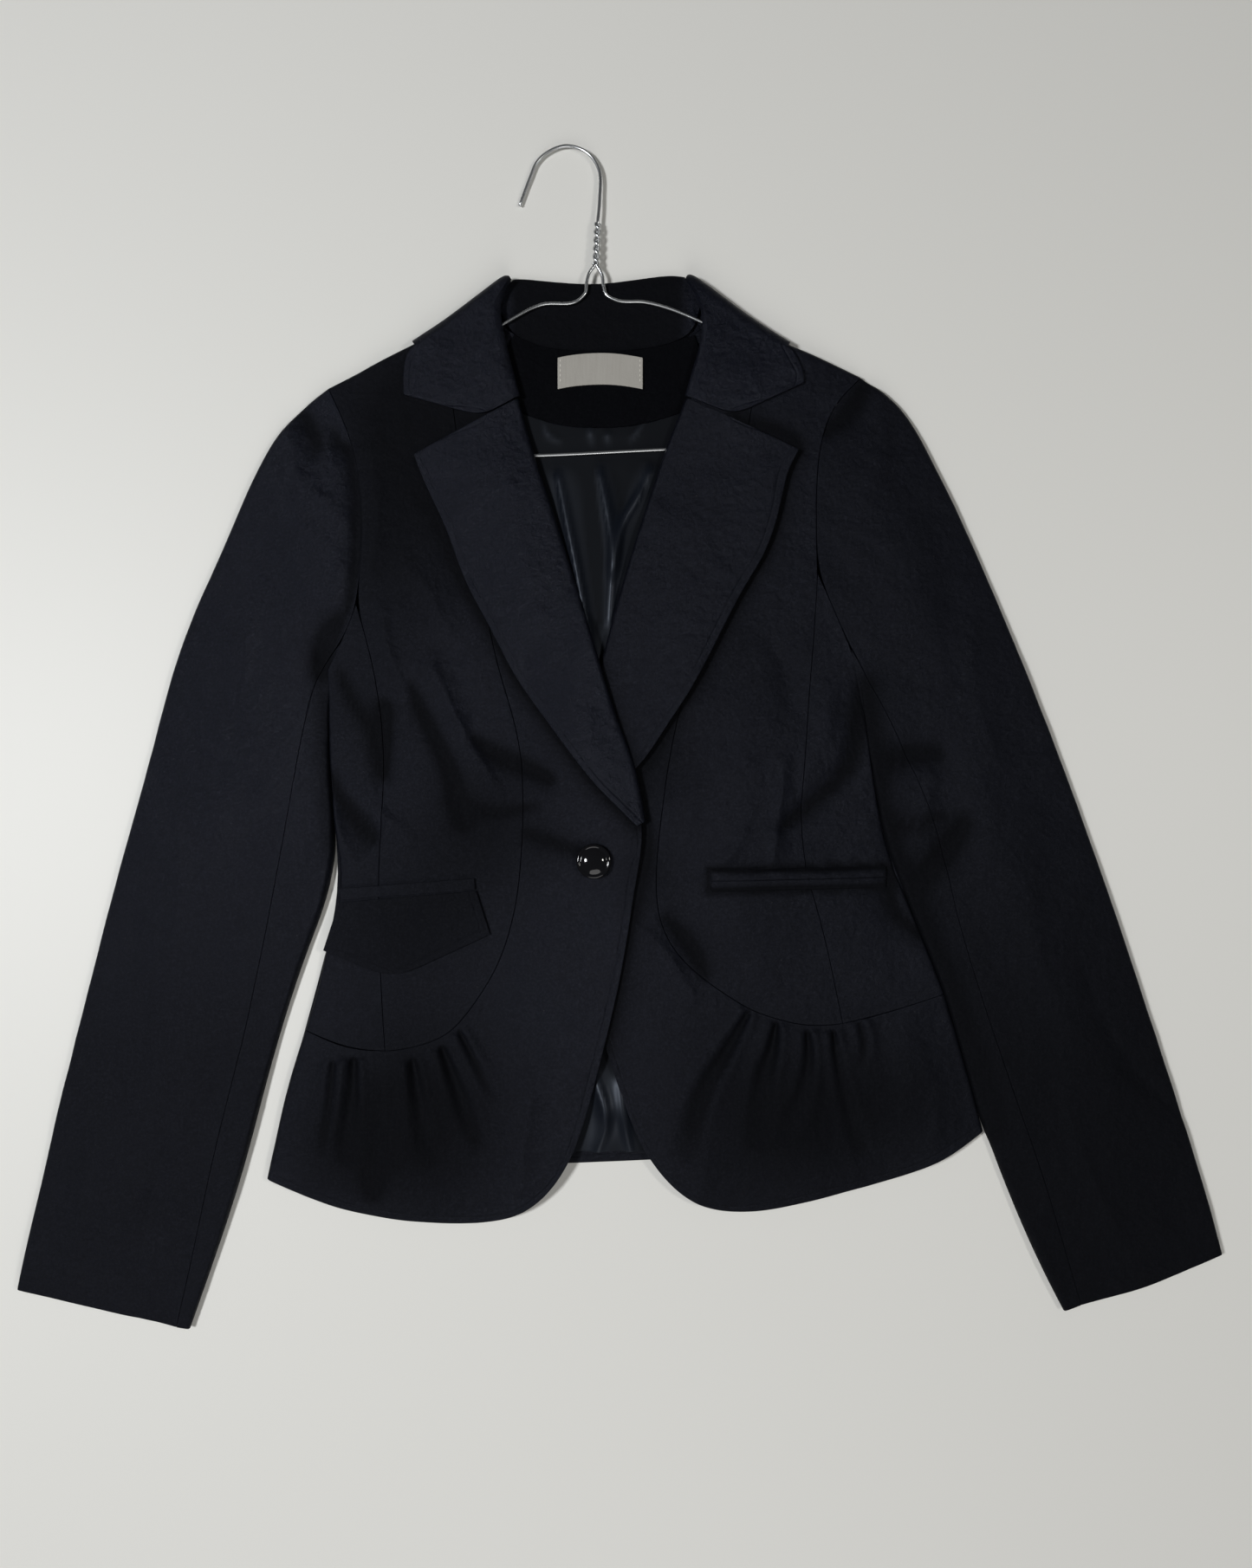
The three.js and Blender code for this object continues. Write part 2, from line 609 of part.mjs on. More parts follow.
// A layer is a height rule for one side of the garment: the part rounded at the silhouette
// and the part that swells and folds
function topLayer(crown, lift = () => 0) {
  return {
    sign: 1,
    form: (x, y, distance) => formHeight(x, y, distance, crown) + lift(x, y),
  };
}

const BACK_LAYER = { sign: -1, form: () => 0 };
const FRONT_LAYERS = {
  right: topLayer(BODY_CROWN, overlapLift),
  left: topLayer(BODY_CROWN),
};
const SLEEVE_LAYER = topLayer(SLEEVE_CROWN);

function heightAt(x, y, layer, raise = 0) {
  const edge = nearestEdge({ x, y });
  const inset = Math.max(EDGE_RADIUS - edge.distance, 0);
  const radius = EDGE_RADIUS + raise;
  const round = Math.sqrt(Math.max(radius * radius - inset * inset, 0));
  return middleHeight(x, y) + layer.sign * (GAP / 2 + round) + layer.form(x, y, edge.distance);
}

function surfacePoint(point, layer, extra = 0) {
  const edge = nearestEdge(point);
  const cosine = Math.max(EDGE_RADIUS - edge.distance, 0) / EDGE_RADIUS;
  const sine = Math.sqrt(1 - cosine * cosine);
  const step = 0.5;
  const form = (dx, dy) => {
    const place = { x: point.x + dx, y: point.y + dy };
    return layer.form(place.x, place.y, nearestEdge(place).distance);
  };
  const slopeX = (form(step, 0) - form(-step, 0)) / (2 * step);
  const slopeY = (form(0, step) - form(0, -step)) / (2 * step);
  const normal = new THREE.Vector3(
    -edge.normal.x * cosine - layer.sign * sine * slopeX,
    -edge.normal.y * cosine - layer.sign * sine * slopeY,
    layer.sign * sine,
  ).normalize();
  const z = middleHeight(point.x, point.y)
    + layer.sign * (GAP / 2 + EDGE_RADIUS * sine) + layer.form(point.x, point.y, edge.distance) + extra;
  return { position: new THREE.Vector3(point.x, point.y, z), normal };
}

// Panels
function shareList(a, b) {
  const first = lengths(a);
  const second = lengths(b);
  return first.map((sum, i) => (sum / first.at(-1) + second[i] / second.at(-1)) / 2);
}

function patch(top, low, start, end, settle = 1) {
  const across = shareList(top, low);
  const down = shareList(start, end);
  const rows = down.map((share, j) => across.map((u, i) => {
    const v = 1 - (1 - share) ** settle;
    const point = new THREE.Vector3();
    point.addScaledVector(top[i], 1 - v).addScaledVector(low[i], v);
    point.addScaledVector(start[j], 1 - u).addScaledVector(end[j], u);
    point.addScaledVector(top[0], -(1 - u) * (1 - v)).addScaledVector(top.at(-1), -u * (1 - v));
    point.addScaledVector(low[0], -(1 - u) * v).addScaledVector(low.at(-1), -u * v);
    return point;
  }));
  return rows;
}

function gridNormals(rows) {
  return rows.map((row, j) => row.map((_, i) => {
    const across = row[Math.min(i + 1, row.length - 1)].clone().sub(row[Math.max(i - 1, 0)]);
    const below = rows[Math.min(j + 1, rows.length - 1)][i];
    const above = rows[Math.max(j - 1, 0)][i];
    return across.cross(below.clone().sub(above)).normalize();
  }));
}

function slab(rows, normals, thickness) {
  const height = rows.length;
  const width = rows[0].length;
  const positions = [];
  for (const side of [0.5, -0.5]) {
    rows.forEach((row, j) => row.forEach((point, i) => {
      const moved = point.clone().addScaledVector(normals[j][i], side * thickness);
      positions.push(moved.x, moved.y, moved.z);
    }));
  }
  const id = (layer, j, i) => layer * width * height + j * width + i;
  const faces = [];
  const quad = (a, b, c, d) => faces.push(a, b, c, a, c, d);
  for (let j = 0; j < height - 1; j += 1) {
    for (let i = 0; i < width - 1; i += 1) {
      quad(id(0, j, i), id(0, j, i + 1), id(0, j + 1, i + 1), id(0, j + 1, i));
      quad(id(1, j, i), id(1, j + 1, i), id(1, j + 1, i + 1), id(1, j, i + 1));
    }
  }
  for (let i = 0; i < width - 1; i += 1) {
    quad(id(0, 0, i), id(1, 0, i), id(1, 0, i + 1), id(0, 0, i + 1));
    quad(id(0, height - 1, i + 1), id(1, height - 1, i + 1), id(1, height - 1, i), id(0, height - 1, i));
  }
  for (let j = 0; j < height - 1; j += 1) {
    quad(id(0, j + 1, 0), id(1, j + 1, 0), id(1, j, 0), id(0, j, 0));
    quad(id(0, j, width - 1), id(1, j, width - 1), id(1, j + 1, width - 1), id(0, j + 1, width - 1));
  }
  return closedGeometry(positions, faces);
}

function closedGeometry(positions, faces) {
  let volume = 0;
  const at = (k) => new THREE.Vector3(positions[3 * k], positions[3 * k + 1], positions[3 * k + 2]);
  for (let k = 0; k < faces.length; k += 3) {
    volume += at(faces[k]).dot(at(faces[k + 1]).cross(at(faces[k + 2])));
  }
  const index = volume > 0 ? faces : faces.map((_, k) => faces[k - (k % 3) + [0, 2, 1][k % 3]]);
  const geometry = new THREE.BufferGeometry();
  geometry.setAttribute("position", new THREE.Float32BufferAttribute(positions, 3));
  geometry.setIndex(index);
  return geometry;
}

function clothPanel(rows, layer, thickness = CLOTH, extras = null) {
  const made = rows.map((row, j) => row.map((point, i) => {
    const extra = extras ? extras[j][i] : 0;
    return surfacePoint(point, layer, extra);
  }));
  const positions = made.map((row) => row.map((p) => p.position));
  const normals = made.map((row) => row.map((p) => p.normal));
  return slab(positions, normals, thickness);
}

// Seam stations, shared by the two panels of each seam, and how many each line has between
// its ends
const COUNTS = { princess: 16, side: 11, shoulder: 6, sleeve: 16, backSide: 6, backNeck: 5 };
const stations = {};
for (const side of ["right", "left"]) {
  const line = outlines[side];
  const rows = FRONTS[side];
  const hole = ARMHOLES[side];
  const armLength = lengths(line.armhole).at(-1);
  const lastSteps = FINE.map((d) => armLength - d).reverse();
  const armhole = pointsAt(line.armhole, [...FINE, ...hole.steps, ...lastSteps]);
  const shoulder = line.shoulder;
  const princessX = column(rows, "princess")[0].x;
  const toPrincess = shoulder.findIndex((p) => Math.abs(p.x) >= Math.abs(princessX));
  const shoulderInner = shoulder.slice(0, toPrincess + 1);
  const shoulderOuter = shoulder.slice(toPrincess);
  const princessRows = [shoulder[toPrincess], ...column(rows, "princess").slice(1)];
  const hip = smoothLine(seamColumn(PEPLUMS[side], "hip"));
  const seamX = column(rows, "sideFront").at(-1).x;
  const hipSplit = hip.findIndex((p) => Math.abs(p.x) >= Math.abs(seamX));
  const hipInner = hip.slice(0, hipSplit + 1);
  const hipOuter = hip.slice(hipSplit);
  const sideFrontRows = [armhole[hole.sideFront], ...column(rows, "sideFront").slice(1, -1), hip[hipSplit]];
  const princess = smoothLine(princessRows);
  const sideFront = smoothLine(sideFrontRows);
  const princessShares = fineShares(princess, COUNTS.princess, true, false);
  const innerShares = PLEATS.inner.map((row) => row.seam);
  const hipOuterFine = fineShares(hipOuter, 0, false, true).slice(1);
  const outerShares = [0, ...PLEATS.outer.map((row) => row.seam), ...hipOuterFine];
  stations[side] = {
    armhole,
    princess: atShares(princess, princessShares),
    princessShares,
    sideFront: spaced(sideFront, COUNTS.side),
    side: spaced(line.bodySide, COUNTS.side),
    shoulderInner: spaced(shoulderInner, COUNTS.shoulder),
    shoulderOuter: spaced(shoulderOuter, COUNTS.shoulder),
    hipInner: atShares(hipInner, innerShares),
    hipOuter: atShares(hipOuter, outerShares),
    hipOuterLine: hipOuter,
  };
}

const parts = new THREE.Group();

function addPart(name, geometry, colour, roughness = 0.8, metalness = 0) {
  const material = new THREE.MeshStandardMaterial({ color: colour, roughness, metalness });
  const mesh = new THREE.Mesh(geometry, material);
  mesh.name = name;
  parts.add(mesh);
}

// The sign that turns a point leftwards of a line run from neck to hem into the panel that
// lies on the side of the centre front
const CENTREWARD = { right: 1, left: -1 };
const HALF = GAP / 2;

function frontCentre(side) {
  const s = stations[side];
  const turn = CENTREWARD[side];
  const inner = [...s.princess, ...s.hipInner.slice(1), ...s.hipOuter.slice(1)];
  const innerEdge = offsetLine(inner, turn * HALF);
  innerEdge[0] = s.shoulderInner.at(-1).clone().add(new THREE.Vector3(turn * HALF, 0, 0));
  const line = EDGE_LINES[side];
  const split = line.findIndex((p) => p.y <= FRONTS[side].at(-1).y);
  const turnPoint = line.findIndex((p, k) => k > split && Math.abs(p.x) >= Math.abs(PEPLUM_TURN[side]));
  const upper = atShares(line.slice(0, split + 1), s.princessShares);
  const middle = atShares(line.slice(split, turnPoint + 1), PLEATS.inner.map((row) => row.hem));
  const hemOuter = line.slice(turnPoint);
  const hemFine = fineShares(hemOuter, 0, false, true).slice(1);
  const lower = atShares(hemOuter, [0, ...PLEATS.outer.map((row) => row.hem), ...hemFine]);
  const outer = [...upper, ...middle.slice(1), ...lower.slice(1)];
  const shoulderEdge = [...s.shoulderInner].reverse();
  shoulderEdge[0] = innerEdge[0];
  shoulderEdge[shoulderEdge.length - 1] = outer[0];
  const peplum = spaced(outlines[side].peplumSide, COUNTS.shoulder);
  peplum[0] = innerEdge.at(-1);
  peplum[peplum.length - 1] = outer.at(-1);
  const rows = patch(innerEdge, outer, shoulderEdge, peplum);
  const heights = [
    ...s.princess.map(() => 0),
    ...PLEATS.inner.slice(1).map((row) => row.height),
    ...PLEATS.outer.map((row) => row.height),
    ...hemFine.map(() => 0),
  ];
  const extras = rows.map((row, j) => {
    const down = j / (rows.length - 1);
    const fade = smooth(down, 0, PLEAT_FADE.full) * (1 - smooth(down, PLEAT_FADE.fall, PLEAT_FADE.end));
    return row.map((_, i) => heights[i] * fade);
  });
  return { rows, extras };
}

for (const side of ["right", "left"]) {
  const { rows, extras } = frontCentre(side);
  addPart(`${side}_front_centre`, clothPanel(rows, FRONT_LAYERS[side], CLOTH, extras), COLOURS.suiting);
}

function frontMiddle(side) {
  const s = stations[side];
  const turn = CENTREWARD[side];
  const start = offsetLine(s.princess, -turn * HALF);
  const outerLine = [...s.armhole.slice(0, ARMHOLES[side].sideFront + 1), ...s.sideFront.slice(1)];
  const end = offsetLine(outerLine, turn * HALF);
  const low = offsetLine(s.hipInner, -turn * HALF);
  const top = [...s.shoulderOuter];
  end[0] = top.at(-1).clone();
  start[0] = top[0].clone().add(new THREE.Vector3(-turn * HALF, 0, 0));
  top[0] = start[0];
  low[0] = start.at(-1);
  const corner = low.at(-1).clone().add(new THREE.Vector3(turn * HALF, 0, 0));
  low[low.length - 1] = corner;
  end[end.length - 1] = corner;
  return patch(top, low, start, end);
}

for (const side of ["right", "left"]) {
  addPart(`${side}_front_middle`, clothPanel(frontMiddle(side), FRONT_LAYERS[side]), COLOURS.suiting);
}

function frontSide(side) {
  const s = stations[side];
  const turn = CENTREWARD[side];
  const start = offsetLine(s.sideFront, -turn * HALF);
  const end = s.side.map((p) => p.clone());
  const top = offsetLine(s.armhole.slice(ARMHOLES[side].sideFront), turn * HALF);
  const lowShares = shareList(top, top);
  const low = offsetLine(atShares(s.hipOuterLine, lowShares), -turn * HALF);
  start[0] = top[0];
  top[top.length - 1] = end[0];
  const corner = start.at(-1).clone().lerp(low[0], 0.5).add(new THREE.Vector3(0, HALF, 0));
  start[start.length - 1] = corner;
  low[0] = corner;
  end[end.length - 1] = low.at(-1);
  return patch(top, low, start, end);
}

for (const side of ["right", "left"]) {
  addPart(`${side}_front_side`, clothPanel(frontSide(side), FRONT_LAYERS[side]), COLOURS.suiting);
}

// Back
function backPanel() {
  const shoulderShares = {};
  const sides = {};
  for (const side of ["right", "left"]) {
    const line = outlines[side].shoulder;
    shoulderShares[side] = atShares(line, fineShares(line, COUNTS.shoulder / 2, false, true));
    const turn = CENTREWARD[side];
    const armhole = offsetLine(stations[side].armhole, turn * HALF);
    armhole[0] = line.at(-1).clone();
    const low = [...outlines[side].bodySide, ...outlines[side].peplumSide.slice(1)];
    const sideLine = spaced(low, COUNTS.backSide);
    armhole[armhole.length - 1] = sideLine[0];
    sides[side] = [...armhole, ...sideLine.slice(1)];
  }
  const neck = spaced(smoothLine(NECK_EDGE), COUNTS.backNeck);
  const top = [...shoulderShares.right.reverse(), ...neck.slice(1, -1), ...shoulderShares.left];
  const topShares = lengths(top).map((sum, i, sums) => sum / sums.at(-1));
  const low = atShares(smoothLine(HEM_BACK), topShares);
  low[0] = sides.right.at(-1);
  low[low.length - 1] = sides.left.at(-1);
  top[0] = sides.right[0];
  top[top.length - 1] = sides.left[0];
  return patch(top, low, sides.right, sides.left);
}

addPart("back", clothPanel(backPanel(), BACK_LAYER), COLOURS.suiting);

// Sleeves. The bulge of the armhole dies out within the first rows.
const SLEEVE_SETTLE = 11;

function sleevePanels(side) {
  const line = outlines[side];
  const s = stations[side];
  const turn = CENTREWARD[side];
  const split = ARMHOLES[side].forearm;
  const outer = spaced(line.sleeveOuter, COUNTS.sleeve);
  const seam = spaced(line.sleeveSeam, COUNTS.sleeve);
  const inner = spaced(line.sleeveInner, COUNTS.sleeve);
  const arm = offsetLine(s.armhole, -turn * HALF);
  arm[0] = outer[0];
  arm[arm.length - 1] = inner[0];
  const cuffSums = lengths(line.cuff);
  const seamShare = seam.at(-1).distanceTo(line.cuff[0]) / cuffSums.at(-1);
  const armShares = shareList(s.armhole, s.armhole);
  const cuffShares = armShares.map((share, i) => (i <= split
    ? (share / armShares[split]) * seamShare
    : seamShare + ((share - armShares[split]) / (1 - armShares[split])) * (1 - seamShare)));
  const cuff = atShares(line.cuff, cuffShares);
  cuff[0] = outer.at(-1);
  cuff[cuff.length - 1] = inner.at(-1);
  const topSeam = offsetLine(seam, -turn * HALF);
  const underSeam = offsetLine(seam, turn * HALF);
  const splitPoint = arm[split];
  topSeam[0] = splitPoint.clone().add(new THREE.Vector3(-turn * HALF, HALF, 0));
  underSeam[0] = splitPoint.clone().add(new THREE.Vector3(turn * HALF * 0.5, -HALF, 0));
  const topArm = arm.slice(0, split + 1);
  topArm[split] = topSeam[0];
  const topCuff = cuff.slice(0, split + 1);
  topCuff[split] = topSeam.at(-1);
  const top = patch(topArm, topCuff, outer, topSeam, SLEEVE_SETTLE);
  const stripArm = arm.slice(split);
  stripArm[0] = underSeam[0];
  const stripCuff = cuff.slice(split);
  stripCuff[0] = underSeam.at(-1);
  const strip = patch(stripArm, stripCuff, underSeam, inner, SLEEVE_SETTLE);
  const floor = patch([...arm].reverse(), [...cuff].reverse(), inner, outer, SLEEVE_SETTLE);
  return { top, strip, floor };
}

for (const side of ["right", "left"]) {
  const { top, strip, floor } = sleevePanels(side);
  addPart(`${side}_sleeve_top`, clothPanel(top, SLEEVE_LAYER), COLOURS.suiting);
  const made = strip.map((row, j) => {
    const above = row.map((point) => surfacePoint(point, SLEEVE_LAYER));
    const below = floor[j].slice(1).map((point) => surfacePoint(point, BACK_LAYER));
    const fold = above.at(-1);
    fold.position.z = middleHeight(fold.position.x, fold.position.y);
    return [...above, ...below];
  });
  const rows = made.map((row) => row.map((p) => p.position));
  const normals = made.map((row) => row.map((p) => p.normal));
  addPart(`${side}_sleeve_under`, slab(rows, normals, CLOTH), COLOURS.suiting);
}

// Lapels
const LAPEL_CURL = LAYER - 0.1;
const LAPEL_COLUMNS = 8;
const LAPEL_ROWS = 18;

function lapel(side) {
  const roll = smoothLine(LAPELS[side].roll);
  const outer = smoothLine(LAPELS[side].outer);
  const steps = fineShares(roll, LAPEL_ROWS, false, false);
  const rollPoints = atShares(roll, steps);
  const outerPoints = atShares(outer, steps);
  const curls = ROUND_SHARES.map((share) => share * LAPEL_CURL);
  return rollPoints.map((start, j) => {
    const end = outerPoints[j];
    const width = start.distanceTo(end);
    const distances = curls.map((d, i) => Math.min(d, (width * i) / LAPEL_COLUMNS));
    const turned = distances.at(-1);
    const flat = LAPEL_COLUMNS - distances.length + 1;
    for (let i = 1; i <= flat; i += 1) {
      distances.push(turned + ((width - turned) * i) / flat);
    }
    return distances.map((distance) => {
      const point = start.clone().lerp(end, distance / width);
      const curl = Math.max(LAPEL_CURL - distance, 0);
      const stand = LAPEL_STAND.rise * smooth(distance, LAPEL_STAND.start, LAPEL_STAND.end);
      const lift = LAYER - LAPEL_CURL + Math.sqrt(LAPEL_CURL ** 2 - curl ** 2) + stand;
      point.z = heightAt(point.x, point.y, FRONT_LAYERS[side]) + lift;
      return point;
    });
  });
}

for (const side of ["right", "left"]) {
  const rows = lapel(side);
  addPart(`${side}_lapel`, slab(rows, gridNormals(rows), CLOTH), COLOURS.suiting);
}

// Collar. Its leaf wraps over a line from the outer edge at the shoulder to the top corner
// of the fold, run on a little past it.
const WRAP_LINES = {};
const WRAP_PAST = 0.2;
const NOTCH_SHARE = 0.64;
const FOLD_INSET = 1.4;
for (const side of ["right", "left"]) {
  const { outer, fold } = COLLAR[side].find((row) => row.wrap);
  const past = {
    x: fold[0] + WRAP_PAST * (fold[0] - outer[0]),
    y: fold[1] + WRAP_PAST * (fold[1] - outer[1]),
  };
  const line = smoothLine([past, { x: fold[0], y: fold[1] }, { x: outer[0], y: outer[1] }, SHOULDERS[side].at(-1)]);
  WRAP_LINES[side] = silhouetteOf(side === "right" ? line : line.reverse());
}

function wrapPoint(at, lift, turn, side) {
  const edge = nearestOn(at, [WRAP_LINES[side]]);
  const out = (EDGE_RADIUS + lift) * Math.cos(turn) - EDGE_RADIUS;
  const up = (EDGE_RADIUS + GAP / 2 + lift) * Math.sin(turn);
  const { foot, normal } = edge;
  const z = middleHeight(foot.x, foot.y) + up;
  return new THREE.Vector3(foot.x - normal.x * out, foot.y - normal.y * out, z);
}

function collarSection(row, side) {
  const turn = THREE.MathUtils.degToRad(row.turn);
  const outer = new THREE.Vector2(...row.outer);
  const fold = new THREE.Vector2(...row.fold);
  const neck = new THREE.Vector2(...row.neck);
  const notch = row.notch ? new THREE.Vector2(...row.notch) : outer.clone().lerp(fold, NOTCH_SHARE);
  const leafEnd = fold.clone().lerp(notch, FOLD_INSET / fold.distanceTo(notch));
  const standEnd = fold.clone().lerp(neck, FOLD_INSET / fold.distanceTo(neck));
  const flat = [
    { at: outer, lift: LEAF },
    { at: outer.clone().lerp(notch, 0.33), lift: LEAF },
    { at: outer.clone().lerp(notch, 0.67), lift: LEAF },
    { at: notch, lift: LEAF },
    { at: notch.clone().lerp(leafEnd, 0.5), lift: LEAF },
    { at: leafEnd, lift: LEAF },
    { at: fold, lift: LEAF / 2 },
    { at: standEnd, lift: 0 },
    { at: standEnd.clone().lerp(neck, 0.5), lift: 0 },
    { at: neck, lift: 0 },
  ];
  return flat.map(({ at, lift }) => {
    if (row.wrap) {
      return wrapPoint(at, lift, turn, side);
    }
    const back = CLOTH / 2 + LEAF - lift;
    const z = row.turn > 0 ? heightAt(at.x, at.y, FRONT_LAYERS[side]) + lift : back;
    return new THREE.Vector3(at.x, at.y, z);
  });
}

// Adds a section half way along each stretch named in between
function withMiddles(rows, between) {
  const result = [];
  rows.forEach((row, j) => {
    result.push(row);
    if (j < rows.length - 1 && between.includes(j)) {
      const before = rows[Math.max(j - 1, 0)];
      const after = rows[Math.min(j + 2, rows.length - 1)];
      result.push(row.map((point, i) => {
        const knots = [before[i], point, rows[j + 1][i], after[i]];
        return new THREE.CatmullRomCurve3(knots, false, "centripetal").getPoint(0.5);
      }));
    }
  });
  return result;
}

const collarRows = [
  ...COLLAR.right.map((row) => collarSection(row, "right")),
  ...COLLAR.left.map((row) => collarSection(row, "left")).reverse(),
];
const backStretches = [9, 10, 11, 12];
const collarGrid = withMiddles(collarRows, backStretches);
addPart("collar", slab(collarGrid, gridNormals(collarGrid), CLOTH), COLOURS.suiting);

// Neck facing, lining and label, which lie on the back
function flatSheet(rows, thickness, above) {
  const placed = rows.map((row) => row.map((point) => {
    const floor = heightAt(point.x, point.y, BACK_LAYER) + CLOTH / 2 + GAP;
    return new THREE.Vector3(point.x, point.y, floor + above + thickness / 2);
  }));
  return slab(placed, placed.map((row) => row.map(() => UP)), thickness);
}

const FACING_COLUMNS = 9;
const LINING_COLUMNS = 8;
const LINING_ROWS = 15;
const LABEL_COLUMNS = 6;

function neckFacing() {
  const top = spaced(smoothLine(FACING.top), FACING_COLUMNS);
  const low = spaced(smoothLine(FACING.low), FACING_COLUMNS);
  const start = atShares([top[0], low[0]], [0, 0.5, 1]);
  const end = atShares([top.at(-1), low.at(-1)], [0, 0.5, 1]);
  return patch(top, low, start, end);
}

function backLining() {
  const shares = Array.from({ length: LINING_ROWS }, (_, k) => k / (LINING_ROWS - 1));
  const top = offsetLine(spaced(smoothLine(FACING.low), LINING_COLUMNS), -2 * GAP);
  const right = atShares(smoothLine(LINING_SIDES.map((row) => ({ x: row.right, y: row.y }))), shares);
  const left = atShares(smoothLine(LINING_SIDES.map((row) => ({ x: row.left, y: row.y }))), shares);
  right[0] = top[0];
  left[0] = top.at(-1);
  const hem = spaced([right.at(-1), left.at(-1)], LINING_COLUMNS);
  return patch(top, hem, right, left);
}

function neckLabel() {
  const rows = [LABEL.high, LABEL.low].map((y) => {
    const row = [];
    for (let i = 0; i <= LABEL_COLUMNS; i += 1) {
      const share = i / LABEL_COLUMNS;
      const x = THREE.MathUtils.lerp(LABEL.left, LABEL.right, share);
      const bow = 1 - (2 * share - 1) ** 2;
      row.push(new THREE.Vector3(x, y - LABEL.arch * bow, 0));
    }
    return row;
  });
  return rows;
}

addPart("back_neck_facing", flatSheet(neckFacing(), LINING, GAP), COLOURS.suiting);
addPart("back_lining", flatSheet(backLining(), LINING, GAP), COLOURS.satin, 0.35);
addPart("neck_label", flatSheet(neckLabel(), LABEL.thickness, LINING + 2 * GAP), COLOURS.label);

// Pockets, which lie on the fronts
function onFront(rows, side, thickness) {
  const placed = rows.map((row) => row.map((point) => {
    const raise = CLOTH / 2 + 2 * GAP + thickness / 2;
    const z = heightAt(point.x, point.y, FRONT_LAYERS[side], raise);
    return new THREE.Vector3(point.x, point.y, z);
  }));
  return slab(placed, gridNormals(placed), thickness);
}

function band({ from, to, width }, steps = 8) {
  const start = new THREE.Vector3(...from, 0);
  const end = new THREE.Vector3(...to, 0);
  const along = end.clone().sub(start).normalize();
  const up = new THREE.Vector3(-along.y, along.x, 0).multiplyScalar(width / 2);
  return [1, 0, -1].map((sign) => {
    const row = [];
    for (let i = 0; i <= steps; i += 1) {
      row.push(start.clone().lerp(end, i / steps).addScaledVector(up, sign));
    }
    return row;
  });
}

addPart("right_pocket_welt", onFront(band(RIGHT_WELT), "right", RIGHT_WELT.thickness), COLOURS.suiting);
for (const [name, welt] of Object.entries(LEFT_WELTS)) {
  addPart(`left_pocket_welt_${name}`, onFront(band(welt), "left", welt.thickness), COLOURS.suiting);
}

function flapRows() {
  const line = (rows) => rows.map((row) => new THREE.Vector3(row.x, row.y, 0));
  const top = atShares(line(RIGHT_FLAP.top), RIGHT_FLAP.across);
  const low = atShares(line(RIGHT_FLAP.low), RIGHT_FLAP.across);
  const start = atShares([top[0], low[0]], RIGHT_FLAP.down);
  const end = atShares([top.at(-1), low.at(-1)], RIGHT_FLAP.down);
  return patch(top, low, start, end);
}

addPart("right_pocket_flap", onFront(flapRows(), "right", RIGHT_FLAP.thickness), COLOURS.suiting);

// Button, a domed disc with a rim. Its profile has columns for how far in from the rim and
// how high each corner is.
const BUTTON_PROFILE = [
  { inset: BUTTON.radius, height: 0 },
  { inset: 1.6, height: 0 },
  { inset: 0.4, height: 0.7 },
  { inset: 0, height: 1.8 },
  { inset: 0.3, height: 3 },
  { inset: 1.2, height: 3.7 },
  { inset: 2.4, height: 3.5 },
  { inset: 3, height: 3.3 },
  { inset: 5.4, height: 4.4 },
  { inset: 8.4, height: 5.05 },
  { inset: BUTTON.radius, height: BUTTON.height },
];

function button() {
  const corners = BUTTON_PROFILE.map((row) => new THREE.Vector2(BUTTON.radius - row.inset, row.height));
  const geometry = new THREE.LatheGeometry(corners, BUTTON.sides);
  geometry.rotateX(Math.PI / 2);
  const top = heightAt(BUTTON.x, BUTTON.y, FRONT_LAYERS.right) + CLOTH / 2;
  geometry.translate(BUTTON.x, BUTTON.y, top + BUTTON.above);
  return geometry;
}

addPart("button", button(), COLOURS.gloss, 0.12);

// Hanger
function toManifold(geometry) {
  const plain = geometry.index ? geometry.clone() : geometry;
  plain.deleteAttribute("normal");
  plain.deleteAttribute("uv");
  const merged = mergeVertices(plain, 1e-4);
  const mesh = new wasm.Mesh({
    numProp: 3,
    vertProperties: new Float32Array(merged.attributes.position.array),
    triVerts: new Uint32Array(merged.index.array),
  });
  return new wasm.Manifold(mesh);
}

function fromManifold(solid) {
  const mesh = solid.getMesh();
  const geometry = new THREE.BufferGeometry();
  geometry.setAttribute("position", new THREE.Float32BufferAttribute(mesh.vertProperties, 3));
  geometry.setIndex(new THREE.Uint32BufferAttribute(mesh.triVerts, 1));
  return geometry;
}

function wire(points, radius, steps, sides) {
  const path = new THREE.CatmullRomCurve3(points, false, "centripetal");
  const section = new THREE.Shape();
  for (let k = 0; k < sides; k += 1) {
    const angle = (2 * Math.PI * k) / sides;
    const x = radius * Math.cos(angle);
    const y = radius * Math.sin(angle);
    if (k === 0) {
      section.moveTo(x, y);
    } else {
      section.lineTo(x, y);
    }
  }
  section.closePath();
  return new THREE.ExtrudeGeometry(section, { extrudePath: path, steps, bevelEnabled: false });
}

